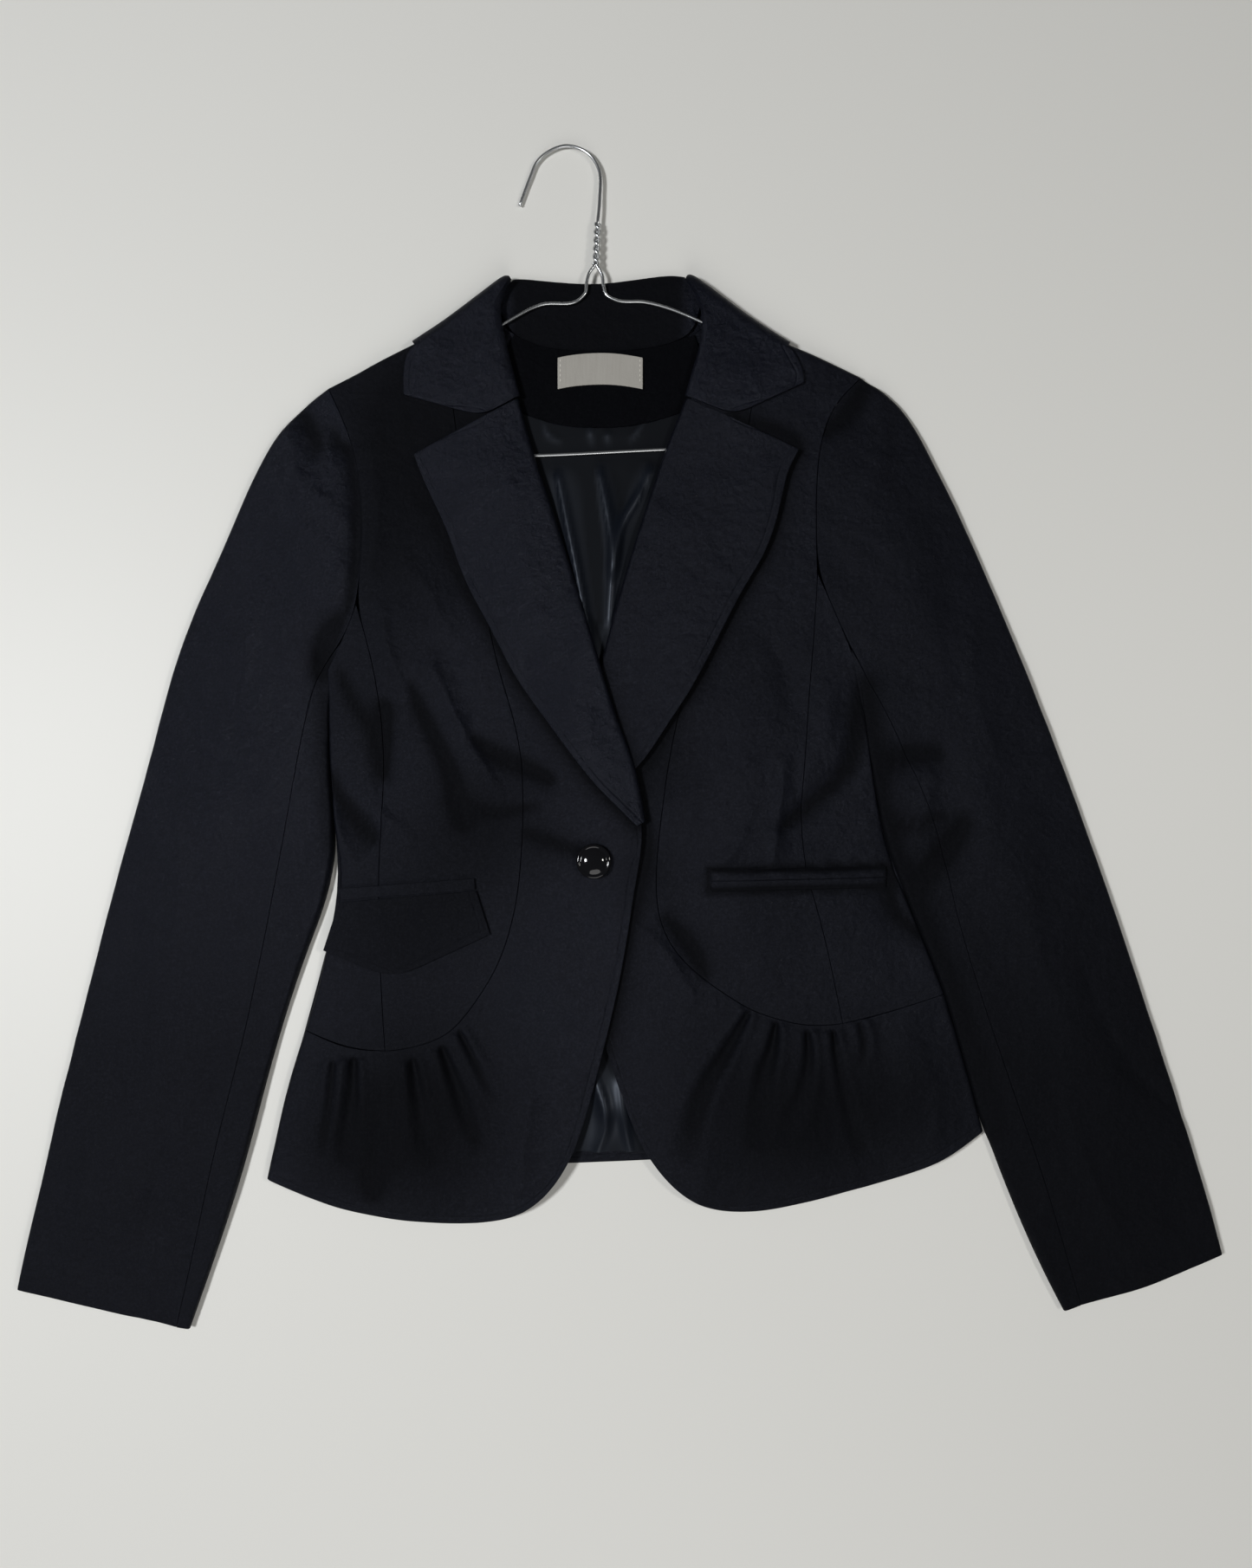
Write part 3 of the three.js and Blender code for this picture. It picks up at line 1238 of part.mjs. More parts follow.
function hanger() {
  const vector = (row) => new THREE.Vector3(row.x, row.y, row.z);
  const { twist } = HANGER;
  const from = new THREE.Vector3(...twist.from);
  const to = new THREE.Vector3(...twist.to);
  const spiral = [];
  for (let k = 0; k <= HANGER.twistSteps; k += 1) {
    const share = k / HANGER.twistSteps;
    const angle = 2 * Math.PI * twist.turns * share;
    const point = from.clone().lerp(to, share);
    point.x += twist.radius * Math.cos(angle);
    point.z += twist.radius * Math.sin(angle);
    spiral.push(point);
  }
  const arms = toManifold(wire(HANGER.arm.map(vector), WIRE, HANGER.armSteps, 6));
  const hook = toManifold(wire(HANGER.hook.map(vector), WIRE, HANGER.hookSteps, 8));
  const wrap = toManifold(wire(spiral, twist.wire, HANGER.twistSteps, 5));
  return fromManifold(arms.add(hook).add(wrap));
}

addPart("hanger", hanger(), COLOURS.wire, 0.3, 1);

export default parts;
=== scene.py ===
# %% [markdown]
# # A cropped blazer on a wire hanger, laid flat
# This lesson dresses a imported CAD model: the panels, collar, sleeves and hanger are
# already in place as plain solids, and each one is replaced here by a piece with real
# cloth edges, creases and stitches. First the model is loaded as a fixed frame. Everything
# is in metres, and the surface it lies on is at z = 0.

# %% Load the frame
import math

import bmesh
import bpy
import numpy as np
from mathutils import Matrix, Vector
from mathutils.bvhtree import BVHTree
from mathutils.kdtree import KDTree


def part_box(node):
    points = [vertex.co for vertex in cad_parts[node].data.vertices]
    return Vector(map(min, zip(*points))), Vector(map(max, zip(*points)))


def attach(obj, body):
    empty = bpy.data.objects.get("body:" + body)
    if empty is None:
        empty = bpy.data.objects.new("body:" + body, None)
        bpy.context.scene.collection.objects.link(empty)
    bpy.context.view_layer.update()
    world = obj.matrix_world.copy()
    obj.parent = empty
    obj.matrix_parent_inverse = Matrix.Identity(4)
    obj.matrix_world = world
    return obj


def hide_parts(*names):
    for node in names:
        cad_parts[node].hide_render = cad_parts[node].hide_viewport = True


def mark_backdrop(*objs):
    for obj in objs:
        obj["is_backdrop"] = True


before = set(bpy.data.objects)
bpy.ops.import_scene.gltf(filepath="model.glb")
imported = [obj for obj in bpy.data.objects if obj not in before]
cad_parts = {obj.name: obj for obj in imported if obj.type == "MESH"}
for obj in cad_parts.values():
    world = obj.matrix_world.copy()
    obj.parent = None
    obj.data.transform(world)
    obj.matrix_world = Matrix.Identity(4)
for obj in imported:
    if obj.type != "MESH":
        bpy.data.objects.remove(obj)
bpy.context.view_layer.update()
scene = bpy.context.scene
MM = 0.001
print("CAD nodes:", len(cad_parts))

# %% [markdown]
# Three small helpers serve all cells below: one gives the columns of a table their names,
# one puts an object in the scene, and one turns a finished bmesh into a mesh.

# %% Helpers
def table(columns, rows):
    """Rows of plain values, with each value under the name of its column."""
    return [dict(zip(columns, row)) for row in rows]


def added(name, data):
    thing = bpy.data.objects.new(name, data)
    scene.collection.objects.link(thing)
    return thing


def mesh_of(bm, name):
    mesh = bpy.data.meshes.new(name)
    bm.to_mesh(mesh)
    bm.free()
    return mesh


# %% [markdown]
# The photo was taken from straight above, at about arm's length, so the camera looks
# down. A wide lens this near makes the middle of the coat a touch larger than its ends.

# %% Camera
CAMERA = {"x": 10.0, "y": 31.4, "height": 833, "lens": 28.8, "sensor": 36, "nearest": 50}
eye = bpy.data.cameras.new("eye")
eye.lens = CAMERA["lens"]
eye.sensor_width = CAMERA["sensor"]
eye.clip_start = CAMERA["nearest"] * MM
eye_object = added("eye", eye)
eye_object.location = Vector((CAMERA["x"], CAMERA["y"], CAMERA["height"])) * MM
scene.camera = eye_object
print("camera at", tuple(round(v, 3) for v in eye_object.location))

# %% [markdown]
# A black cloth shows its folds by its sheen, so what matters is where the lamps are
# mirrored. In the photo the board mirrors a lamp beside the sleeve at the left, so the main
# lamp hangs up on that side, a weaker one hangs at the right, and the sky fills the rest.

# %% Floor and lights
scene.view_settings.view_transform = "Standard"


def plain_material(name, colour, roughness):
    material = bpy.data.materials.new(name)
    material.use_nodes = True
    shader = material.node_tree.nodes["Principled BSDF"]
    shader.inputs["Base Color"].default_value = (*colour, 1)
    shader.inputs["Roughness"].default_value = roughness
    return material


BOARD = {"half": 3.0, "drop": 0.3, "colour": (0.71, 0.70, 0.665), "roughness": 0.5}


def floor_sheet():
    bm = bmesh.new()
    bmesh.ops.create_grid(bm, x_segments=1, y_segments=1, size=BOARD["half"])
    bmesh.ops.translate(bm, verts=bm.verts, vec=(0, 0, -BOARD["drop"] * MM))
    floor = added("floor", mesh_of(bm, "floor"))
    floor.data.materials.append(plain_material("floor_board", BOARD["colour"], BOARD["roughness"]))
    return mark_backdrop(floor)


LAMPS = table(("name", "place", "size", "power", "colour"), [
    ("left_lamp", (-1.25, 0.05, 2.0), 0.4, 38, (0.97, 0.99, 1.01)),
    ("right_lamp", (1.3, 0.1, 1.9), 0.28, 8.5, (1.0, 0.98, 0.94)),
    ("far_lamp", (0.2, -2.6, 1.9), 2.4, 27, (1.0, 0.99, 0.97)),
])
SKY = {"strength": 0.07, "colour": (0.95, 0.98, 1.0)}


def lamp(row):
    light = bpy.data.lights.new(row["name"], "AREA")
    light.shape = "DISK"
    light.size = row["size"]
    light.energy = row["power"]
    light.color = row["colour"]
    holder = added(row["name"], light)
    holder.location = row["place"]
    holder.rotation_euler = (-Vector(row["place"])).to_track_quat("-Z", "Y").to_euler()


def sky():
    world = bpy.data.worlds.new("sky")
    world.use_nodes = True
    background = world.node_tree.nodes["Background"]
    background.inputs["Color"].default_value = (*SKY["colour"], 1)
    background.inputs["Strength"].default_value = SKY["strength"]
    scene.world = world


floor_sheet()
for row in LAMPS:
    lamp(row)
sky()
print("lamps:", [row["name"] for row in LAMPS])

# %% [markdown]
# ## Finishes
# Several finishes share an effect, so each effect is a node group made once. `weave` is
# cloth grain: two sets of fine threads that cross, seen as small hills. It reads Object
# coordinates, because the coat's panels lie flat and keep the grain of the room.

# %% A helper for node groups
def node_group(name, inputs, outputs):
    group = bpy.data.node_groups.new(name, "ShaderNodeTree")
    for label, kind, value in inputs:
        socket = group.interface.new_socket(label, in_out="INPUT", socket_type=kind)
        socket.default_value = value
    for label, kind in outputs:
        group.interface.new_socket(label, in_out="OUTPUT", socket_type=kind)
    entry = group.nodes.new("NodeGroupInput")
    leave = group.nodes.new("NodeGroupOutput")
    return group, entry.outputs, leave.inputs


def math_node(group, kind, first, second=None, third=None):
    node = group.nodes.new("ShaderNodeMath")
    node.operation = kind
    for socket, value in zip(node.inputs, (first, second, third)):
        if value is None:
            continue
        if isinstance(value, (int, float)):
            socket.default_value = value
        else:
            group.links.new(value, socket)
    return node.outputs[0]


def times(group, first, second):
    return math_node(group, "MULTIPLY", first, second)


def dying(group, value):
    """Falls from 1 towards 0 as the value grows."""
    return math_node(group, "EXPONENT", times(group, value, -1.0))


def noise_node(group, vector, scale, detail=2.0, roughness=0.5):
    """Noise with hills about 1 / scale metres wide."""
    node = group.nodes.new("ShaderNodeTexNoise")
    group.links.new(vector, node.inputs["Vector"])
    for label, value in (("Scale", scale), ("Detail", detail), ("Roughness", roughness)):
        node.inputs[label].default_value = value
    return node.outputs["Fac"]


# %% Weave group
FLOAT, VECTOR, COLOUR = "NodeSocketFloat", "NodeSocketVector", "NodeSocketColor"


FUZZ, GRAIN, SLUB = (700.0, 3.0, 0.75), (620.0, 3.0, 0.85), (1.0, 2.0)
SLUB_STRETCH = (900, 60, 60)
GRAIN_FROM, GRAIN_GAIN = 0.46, 6.0


def weave_group():
    group, given, out = node_group(
        "weave",
        [("Vector", VECTOR, (0, 0, 0)), ("Threads per metre", FLOAT, 2000.0)],
        [("Height", FLOAT), ("Slub", FLOAT), ("Grain", FLOAT)],
    )
    axes = group.nodes.new("ShaderNodeSeparateXYZ")
    group.links.new(given["Vector"], axes.inputs[0])
    turn = times(group, given["Threads per metre"], math.pi)
    warp = math_node(group, "SINE", times(group, axes.outputs["X"], turn))
    weft = math_node(group, "SINE", times(group, axes.outputs["Y"], turn))
    over = times(group, warp, weft)
    fuzz = noise_node(group, given["Vector"], *FUZZ)
    height = math_node(group, "MULTIPLY_ADD", over, 0.25, fuzz)
    group.links.new(height, out["Height"])
    stretched = group.nodes.new("ShaderNodeMapping")
    stretched.inputs["Scale"].default_value = SLUB_STRETCH
    group.links.new(given["Vector"], stretched.inputs["Vector"])
    group.links.new(noise_node(group, stretched.outputs[0], *SLUB), out["Slub"])
    grain = math_node(group, "SUBTRACT", noise_node(group, given["Vector"], *GRAIN), GRAIN_FROM)
    group.links.new(times(group, grain, GRAIN_GAIN), out["Grain"])
    return group


WEAVE = weave_group()

# %% [markdown]
# A black coat always carries a little lint: pale specks, and a faint greying where the
# cloth is rubbed, as along its turned edges and folds. `lint` gives a mask of specks, and
# `rubbed` a mask that grows towards an edge. The distance to the finished edge is kept in
# the mesh as an attribute, `hem`, in metres, and the distance to a seam as `seam`.

# %% Lint and rubbed edges
SPECKS = {"per_metre": 160.0, "size": 0.05, "rare": 0.9}
DUST = (14.0, 5.0, 0.62)
PATCHY = (60.0, 3.0)


def lint_group():
    group, given, out = node_group(
        "lint",
        [("Vector", VECTOR, (0, 0, 0)), ("Amount", FLOAT, 0.5)],
        [("Specks", FLOAT), ("Dust", FLOAT)],
    )
    cells = group.nodes.new("ShaderNodeTexVoronoi")
    cells.inputs["Scale"].default_value = SPECKS["per_metre"]
    group.links.new(given["Vector"], cells.inputs["Vector"])
    near = math_node(group, "LESS_THAN", cells.outputs["Distance"], SPECKS["size"])
    hue = group.nodes.new("ShaderNodeSeparateColor")
    group.links.new(cells.outputs["Color"], hue.inputs[0])
    some = math_node(group, "GREATER_THAN", hue.outputs[0], SPECKS["rare"])
    specks = times(group, near, some)
    group.links.new(times(group, specks, given["Amount"]), out["Specks"])
    dust = noise_node(group, given["Vector"], *DUST)
    group.links.new(times(group, dust, given["Amount"]), out["Dust"])
    return group


def rubbed_group():
    group, given, out = node_group(
        "rubbed",
        [("Distance", FLOAT, 1.0), ("Reach", FLOAT, 0.0015), ("Vector", VECTOR, (0, 0, 0))],
        [("Mask", FLOAT)],
    )
    share = math_node(group, "DIVIDE", given["Distance"], given["Reach"])
    patchy = noise_node(group, given["Vector"], *PATCHY)
    group.links.new(times(group, dying(group, share), patchy), out["Mask"])
    return group


LINT = lint_group()
RUBBED = rubbed_group()

# %% [markdown]
# A row of stitches pulls the cloth into a shallow channel, and a seam puckers it a
# little on both sides. `needlework` turns the two distances into a height: a channel
# where the row of stitches runs, and small waves that die out away from the seam. `crumple`
# is the unevenness that any worn coat has: low hills with a few short bent lines.

# %% Needlework and crumple groups
CHANNEL = {"half": 0.0007, "deep": -0.5}
PUCKER = {"waves": (170.0, 2.0), "high": 0.5, "fade": 170.0}
BROAD, BENT = (34.0, 3.0, 0.55), (120.0, 2.0)
BENT_DEPTH = -0.45


def needlework_group():
    group, given, out = node_group(
        "needlework",
        [
            ("Hem", FLOAT, 1.0), ("Seam", FLOAT, 1.0), ("Row", FLOAT, 0.0055),
            ("Vector", VECTOR, (0, 0, 0)),
        ],
        [("Height", FLOAT)],
    )
    off_row = math_node(group, "SUBTRACT", given["Hem"], given["Row"])
    off_row = math_node(group, "DIVIDE", off_row, CHANNEL["half"])
    channel = dying(group, times(group, off_row, off_row))
    waves = noise_node(group, given["Vector"], *PUCKER["waves"])
    nearest = math_node(group, "MINIMUM", given["Hem"], given["Seam"])
    fade = dying(group, times(group, nearest, PUCKER["fade"]))
    pucker = times(group, times(group, waves, PUCKER["high"]), fade)
    group.links.new(math_node(group, "MULTIPLY_ADD", channel, CHANNEL["deep"], pucker), out["Height"])
    return group


def crumple_group():
    group, given, out = node_group("crumple", [("Vector", VECTOR, (0, 0, 0))], [("Height", FLOAT)])
    broad = noise_node(group, given["Vector"], *BROAD)
    fine = noise_node(group, given["Vector"], *BENT)
    folded = math_node(group, "ABSOLUTE", math_node(group, "SUBTRACT", fine, 0.5))
    group.links.new(math_node(group, "MULTIPLY_ADD", folded, BENT_DEPTH, broad), out["Height"])
    return group


NEEDLEWORK = needlework_group()
CRUMPLE = crumple_group()
print("effects:", [group.name for group in bpy.data.node_groups])

# %% [markdown]
# ## The black suiting
# The coat is a closely woven, sanded cotton: nearly black with a trace of blue, matt, and
# a little brighter where it is seen along the surface. That brightness is the sheen of
# the Principled shader. The colour is mixed from dust, slubs, specks and rubbed edges. Shade
# is painted into it as well: the attribute `shade` darkens the colour towards a near-black
# in the hollows of folds, in dim patches and beside edges that lie over the cloth, and makes
# the cloth rougher there.

# %% A helper for cloth materials
def finish(name, colour, roughness, values):
    """A new finish: what is the same all over it is set on the shader's own sockets."""
    material = plain_material(name, colour, roughness)
    tree = material.node_tree
    shader = tree.nodes["Principled BSDF"]
    for label, value in values.items():
        shader.inputs[label].default_value = value
    return material, tree, shader.inputs, tree.nodes.new("ShaderNodeTexCoord").outputs["Object"]


def attribute(tree, name):
    node = tree.nodes.new("ShaderNodeAttribute")
    node.attribute_name = name
    return node.outputs["Fac"]


def placed(tree, group, **values):
    node = tree.nodes.new("ShaderNodeGroup")
    node.node_tree = group
    for label, value in values.items():
        socket = node.inputs[label.replace("_", " ").capitalize()]
        if hasattr(value, "is_output"):
            tree.links.new(value, socket)
        else:
            socket.default_value = value
    return node.outputs


def mixed(tree, mask, first, second):
    node = tree.nodes.new("ShaderNodeMix")
    node.data_type = "RGBA"
    tree.links.new(mask, node.inputs["Factor"])
    for socket, value in ((node.inputs["A"], first), (node.inputs["B"], second)):
        if hasattr(value, "is_output"):
            tree.links.new(value, socket)
        else:
            socket.default_value = (*value, 1)
    return node.outputs["Result"]


def clamped(tree, value):
    return math_node(tree, "MINIMUM", math_node(tree, "MAXIMUM", value, 0.0), 1.0)


def bumped(tree, height, strength, distance, normal=None):
    node = tree.nodes.new("ShaderNodeBump")
    node.inputs["Strength"].default_value = strength
    node.inputs["Distance"].default_value = distance
    tree.links.new(height, node.inputs["Height"])
    if normal is not None:
        tree.links.new(normal, node.inputs["Normal"])
    return node.outputs["Normal"]


# %% Suiting
SUITING = {
    "deep": (0.0006, 0.0008, 0.0018), "worn": (0.0034, 0.0039, 0.0072), "lint": (0.06, 0.057, 0.054),
    "nap": (0.0062, 0.0069, 0.0115), "painted_shade_colour": (0.0001, 0.0001, 0.0003), "roughness": 0.39,
    "threads": 2300.0, "row": 0.0045, "lint_amount": 0.7,
}
SHARE = {"slub": 0.25, "hem": 0.8, "seam": 0.5}
ROUGHER = {"slub": 0.12, "base": -0.06, "hollow": 0.4, "grain": -0.12}
# The strength and the height in metres of each layer of relief.
RELIEF = {"weave": (0.8, 0.00034), "crumple": (0.7, 0.0029), "work": (0.7, 0.0006)}


def suiting_material(name="black_suiting", specular=0.125):
    material, tree, sockets, place = finish(name, SUITING["deep"], SUITING["roughness"], {
        "Specular IOR Level": specular, "Specular Tint": (0.86, 0.90, 1.08, 1), "Sheen Weight": 0.01,
        "Sheen Roughness": 0.45, "Sheen Tint": (0.72, 0.80, 1.0, 1),
    })
    hem, seam, shade = (attribute(tree, name) for name in ("hem", "seam", "shade"))
    weave = placed(tree, WEAVE, Vector=place, threads_per_metre=SUITING["threads"])
    lint = placed(tree, LINT, Vector=place, amount=SUITING["lint_amount"])
    hem_worn, seam_worn = (placed(tree, RUBBED, distance=far, vector=place)["Mask"] for far in (hem, seam))
    work = placed(tree, NEEDLEWORK, hem=hem, seam=seam, row=SUITING["row"], vector=place)
    grain = clamped(tree, weave["Grain"])
    tone = mixed(tree, lint["Dust"], SUITING["deep"], SUITING["worn"])
    for mask in (
        times(tree, weave["Slub"], SHARE["slub"]),
        times(tree, hem_worn, SHARE["hem"]),
        times(tree, seam_worn, SHARE["seam"]),
    ):
        tone = mixed(tree, mask, tone, SUITING["worn"])
    tone = mixed(tree, grain, tone, SUITING["nap"])
    tone = mixed(tree, lint["Specks"], tone, SUITING["lint"])
    # Painted shade: where the attribute shade is high, the colour goes to a near-black.
    tree.links.new(mixed(tree, shade, tone, SUITING["painted_shade_colour"]), sockets["Base Color"])
    base = SUITING["roughness"] + ROUGHER["base"]
    rough = math_node(tree, "MULTIPLY_ADD", weave["Slub"], ROUGHER["slub"], base)
    rough = math_node(tree, "MULTIPLY_ADD", shade, ROUGHER["hollow"], rough)
    rough = math_node(tree, "MULTIPLY_ADD", grain, ROUGHER["grain"], rough)
    tree.links.new(rough, sockets["Roughness"])
    normal = bumped(tree, weave["Height"], *RELIEF["weave"])
    normal = bumped(tree, placed(tree, CRUMPLE, Vector=place)["Height"], *RELIEF["crumple"], normal)
    normal = bumped(tree, work["Height"], *RELIEF["work"], normal)
    tree.links.new(normal, sockets["Normal"])
    return material


BLACK_SUITING = suiting_material()
# A shaded copy of the suiting, with weaker specular, paints shade on the facing behind the neck, which lies
# deep in the coat, where hardly a lamp is mirrored.
PAINTED_SHADE_SUITING = suiting_material("suiting_painted_shade", 0.075)
print("suiting ready")

# %% [markdown]
# ## The lining, label, thread, button and wire
# The lining is a blue-black satin. Its long floats catch light along one direction, so it
# is glossier and its grain runs down the coat. The label is blank woven tape.

# %% Satin lining
SATIN = {
    "deep": (0.0016, 0.0024, 0.0050), "light": (0.0050, 0.0064, 0.0095), "roughness": 0.42,
    "hollow": 0.45, "threads": 5200.0, "lint_amount": 0.35, "relief": (0.25, 0.0001),
}


def satin_material():
    material, tree, sockets, place = finish("satin_lining", SATIN["deep"], SATIN["roughness"], {
        "Anisotropic": 0.5, "Specular IOR Level": 0.26, "Specular Tint": (0.86, 0.94, 1.1, 1),
        "Sheen Weight": 0.02, "Sheen Tint": (0.55, 0.70, 1.0, 1),
    })
    weave = placed(tree, WEAVE, Vector=place, threads_per_metre=SATIN["threads"])
    lint = placed(tree, LINT, Vector=place, amount=SATIN["lint_amount"])
    shade = attribute(tree, "shade")
    tone = mixed(tree, weave["Slub"], SATIN["deep"], SATIN["light"])
    tone = mixed(tree, lint["Specks"], tone, SUITING["lint"])
    # Painted shade: where the attribute shade is high, the satin goes to a near-black.
    tree.links.new(mixed(tree, shade, tone, SUITING["painted_shade_colour"]), sockets["Base Color"])
    rough = math_node(tree, "MULTIPLY_ADD", shade, SATIN["hollow"], SATIN["roughness"])
    tree.links.new(rough, sockets["Roughness"])
    tree.links.new(bumped(tree, weave["Slub"], *SATIN["relief"]), sockets["Normal"])
    return material


SATIN_LINING = satin_material()

# %% Label tape, thread, button and wire
TAPE = {
    "pale": (0.36, 0.345, 0.315), "dull": (0.28, 0.265, 0.24), "dusty": (0.30, 0.28, 0.245),
    "threads": 2600.0, "lint_amount": 0.5, "relief": (0.6, 0.0002),
}
THREAD = {"strands": (3200.0, 1.0), "lighter": 1.6, "relief": (0.5, 0.0001)}
RESIN = {"black": (0.003, 0.003, 0.004), "dusty": (0.006, 0.006, 0.007), "smears": (150.0, 3.0)}
WIRE = {
    "dark": (0.50, 0.51, 0.52), "light": (0.64, 0.65, 0.66), "spangle": (900.0, 3.0, 0.6), "worn": (70.0, 4.0),
}


def tape_material():
    material, tree, sockets, place = finish("label_tape", TAPE["pale"], 0.7, {"Sheen Weight": 0.2})
    weave = placed(tree, WEAVE, Vector=place, threads_per_metre=TAPE["threads"])
    lint = placed(tree, LINT, Vector=place, amount=TAPE["lint_amount"])
    tone = mixed(tree, weave["Slub"], TAPE["pale"], TAPE["dull"])
    tree.links.new(mixed(tree, lint["Dust"], tone, TAPE["dusty"]), sockets["Base Color"])
    tree.links.new(bumped(tree, weave["Height"], *TAPE["relief"]), sockets["Normal"])
    return material


def thread_material(name, colour):
    material, tree, sockets, place = finish(name, colour, 0.6, {"Specular IOR Level": 0.15})
    strands = noise_node(tree, place, *THREAD["strands"])
    tree.links.new(bumped(tree, strands, *THREAD["relief"]), sockets["Normal"])
    tone = mixed(tree, strands, colour, tuple(THREAD["lighter"] * c for c in colour))
    tree.links.new(tone, sockets["Base Color"])
    return material


def button_material():
    material, tree, sockets, place = finish("button_resin", RESIN["black"], 0.09, {"Specular IOR Level": 0.45})
    smears = noise_node(tree, place, *RESIN["smears"])
    tree.links.new(math_node(tree, "MULTIPLY_ADD", smears, 0.06, 0.04), sockets["Roughness"])
    lint = placed(tree, LINT, Vector=place, amount=0.5)
    tree.links.new(mixed(tree, lint["Dust"], RESIN["black"], RESIN["dusty"]), sockets["Base Color"])
    return material


def wire_material():
    material, tree, sockets, place = finish("galvanised_wire", WIRE["dark"], 0.28, {"Metallic": 1.0})
    spangle = noise_node(tree, place, *WIRE["spangle"])
    worn = noise_node(tree, place, *WIRE["worn"])
    tree.links.new(mixed(tree, spangle, WIRE["dark"], WIRE["light"]), sockets["Base Color"])
    tree.links.new(math_node(tree, "MULTIPLY_ADD", worn, 0.16, 0.2), sockets["Roughness"])
    tree.links.new(bumped(tree, spangle, 0.12, 0.0001), sockets["Normal"])
    return material


LABEL_TAPE = tape_material()
BLACK_THREAD = thread_material("black_thread", (0.0035, 0.004, 0.006))
PALE_THREAD = thread_material("pale_thread", (0.55, 0.53, 0.48))
BUTTON_RESIN = button_material()
GALVANISED_WIRE = wire_material()
print("materials:", [m.name for m in bpy.data.materials])

# %% [markdown]
# ## Lines of the coat
# The finished edges and the seams are repeated here from the CAD source, in millimetres,
# because stitches and puckers follow them. A smooth curve runs through each row of points.

# %% Edge and seam tables
PHOTO = {"x": 705, "y": 960, "mm_per_pixel": 0.57}


def px(*pairs):
    """Places read off the photo, from its pixels to mm."""
    scale = PHOTO["mm_per_pixel"]
    return [((x - PHOTO["x"]) * scale, (PHOTO["y"] - y) * scale) for x, y in pairs]


EDGES = {
    "right_front": [
        (-81.5, 341), (-72, 304.5), (-56, 254), (-37.5, 196), (-22, 148), (-9, 106), (2.5, 70),
        (12, 45), (19.5, 15), (22.5, -10), (17, -28), (14, -50), (9, -80), (2, -115), (-5, -144),
        (-12, -171), (-17, -190), (-25, -213), (-33, -229), (-45, -242), (-61, -253), (-83, -258),
        (-111, -258), (-148, -254), (-177, -249), (-201, -240), (-226, -229),
    ],
    "left_front": [
        (73, 340.5), (60.5, 303.5), (49, 275), (36, 242), (23.2, 204), (12.7, 170), (-0.8, 120),
        (-18.8, 57), (-29, 17), (-35, -9), (-31.5, -28), (-23.5, -66), (-15, -101), (-8, -126),
        (-1, -150), (7, -174), (17, -202), (27, -219), (41, -234), (57, -246), (75, -251), (105, -249),
        (137, -241), (169, -233), (202, -223), (245, -198),
    ],
    "right_lapel": [
        (-85, 272.6), (-129, 247.5), (-123, 231), (-109, 202), (-96, 166), (-78, 132), (-62, 101),
        (-44, 76), (-28, 54), (-10, 31), (8, 13), (17, 4),
    ],
    "left_lapel": [
        (81, 273), (123, 250), (116, 238), (110, 210), (101, 183), (87, 160), (74, 135), (62, 111),
        (49, 88), (36, 69), (24, 50), (9, 34), (-9, 23), (-26, 16),
    ],
    "right_collar": [(-85, 272.6), (-135, 286), (-135.5, 299), (-134, 310), (-129, 320)],
    "left_collar": [(81, 273), (126, 294), (126, 301), (122, 309), (116.5, 319.5)],
    "left_welts": px(
        (817, 1003), (900, 1001), (1025, 999), (1025, 1023), (900, 1027), (817, 1029), (817, 1003),
    ),
    "right_flap": [(-178.5, -46.5), (-189, -78), (-142, -96), (-79, -67), (-88, -38.5)],
    "back_hem": [(-226, -229), (-120, -222), (-8, -219), (120, -211), (245, -198)],
}
SEAMS = {
    "right_princess": [
        (-110.5, 328.5), (-106.5, 304.5), (-104, 284), (-100.5, 254), (-96, 222), (-86.5, 168),
        (-78.5, 128), (-74, 106), (-62, 70), (-58, 45), (-57, 15), (-58, -10), (-62, -50), (-70.5, -80),
        (-80, -100), (-91, -115),
    ],
    "left_princess": [
        (99.5, 328.5), (96.5, 303.5), (92, 275), (86, 242), (77.5, 204), (69.5, 170), (63.5, 147),
        (56, 120), (49.5, 97), (40, 57), (34, 17), (31, -9), (29, -46), (33, -66), (45, -84),
        (66, -101), (91, -117),
    ],
    "right_hip": [(-91, -115), (-105, -131), (-121, -139), (-148, -144), (-177, -141), (-201, -131)],
    "left_hip": [(91, -117), (109, -123), (129, -127), (152, -126), (181, -119), (219, -107)],
    "right_side_front": [
        (-168, 148), (-161, 128), (-155.5, 106), (-151, 70), (-150, 45), (-150, 15), (-152, -10),
        (-153, -28), (-152, -80), (-148, -144),
    ],
    "left_side_front": [
        (136, 170), (133, 120), (128.5, 57), (125, 17), (126, -9), (128.5, -28), (134.5, -46),
        (144, -84), (152, -126),
    ],
    "right_armhole": [
        (-186, 292), (-169, 254), (-164, 222), (-163, 196), (-164, 168), (-168, 148), (-176, 128),
        (-186.5, 106),
    ],
    "left_armhole": [
        (165, 299), (142, 275), (136, 242), (135, 204), (136, 170), (146, 147), (158, 120), (166, 97),
    ],
    "right_forearm": [
        (-176.5, 127), (-194.5, 104), (-200, 80), (-206, 50), (-221, -35), (-239, -123), (-260, -208),
        (-286, -326.5),
    ],
    "left_forearm": [
        (158, 120), (175, 92), (194, 51), (213, 7), (231, -67), (259, -154), (286, -232), (310, -312.5),
    ],
}


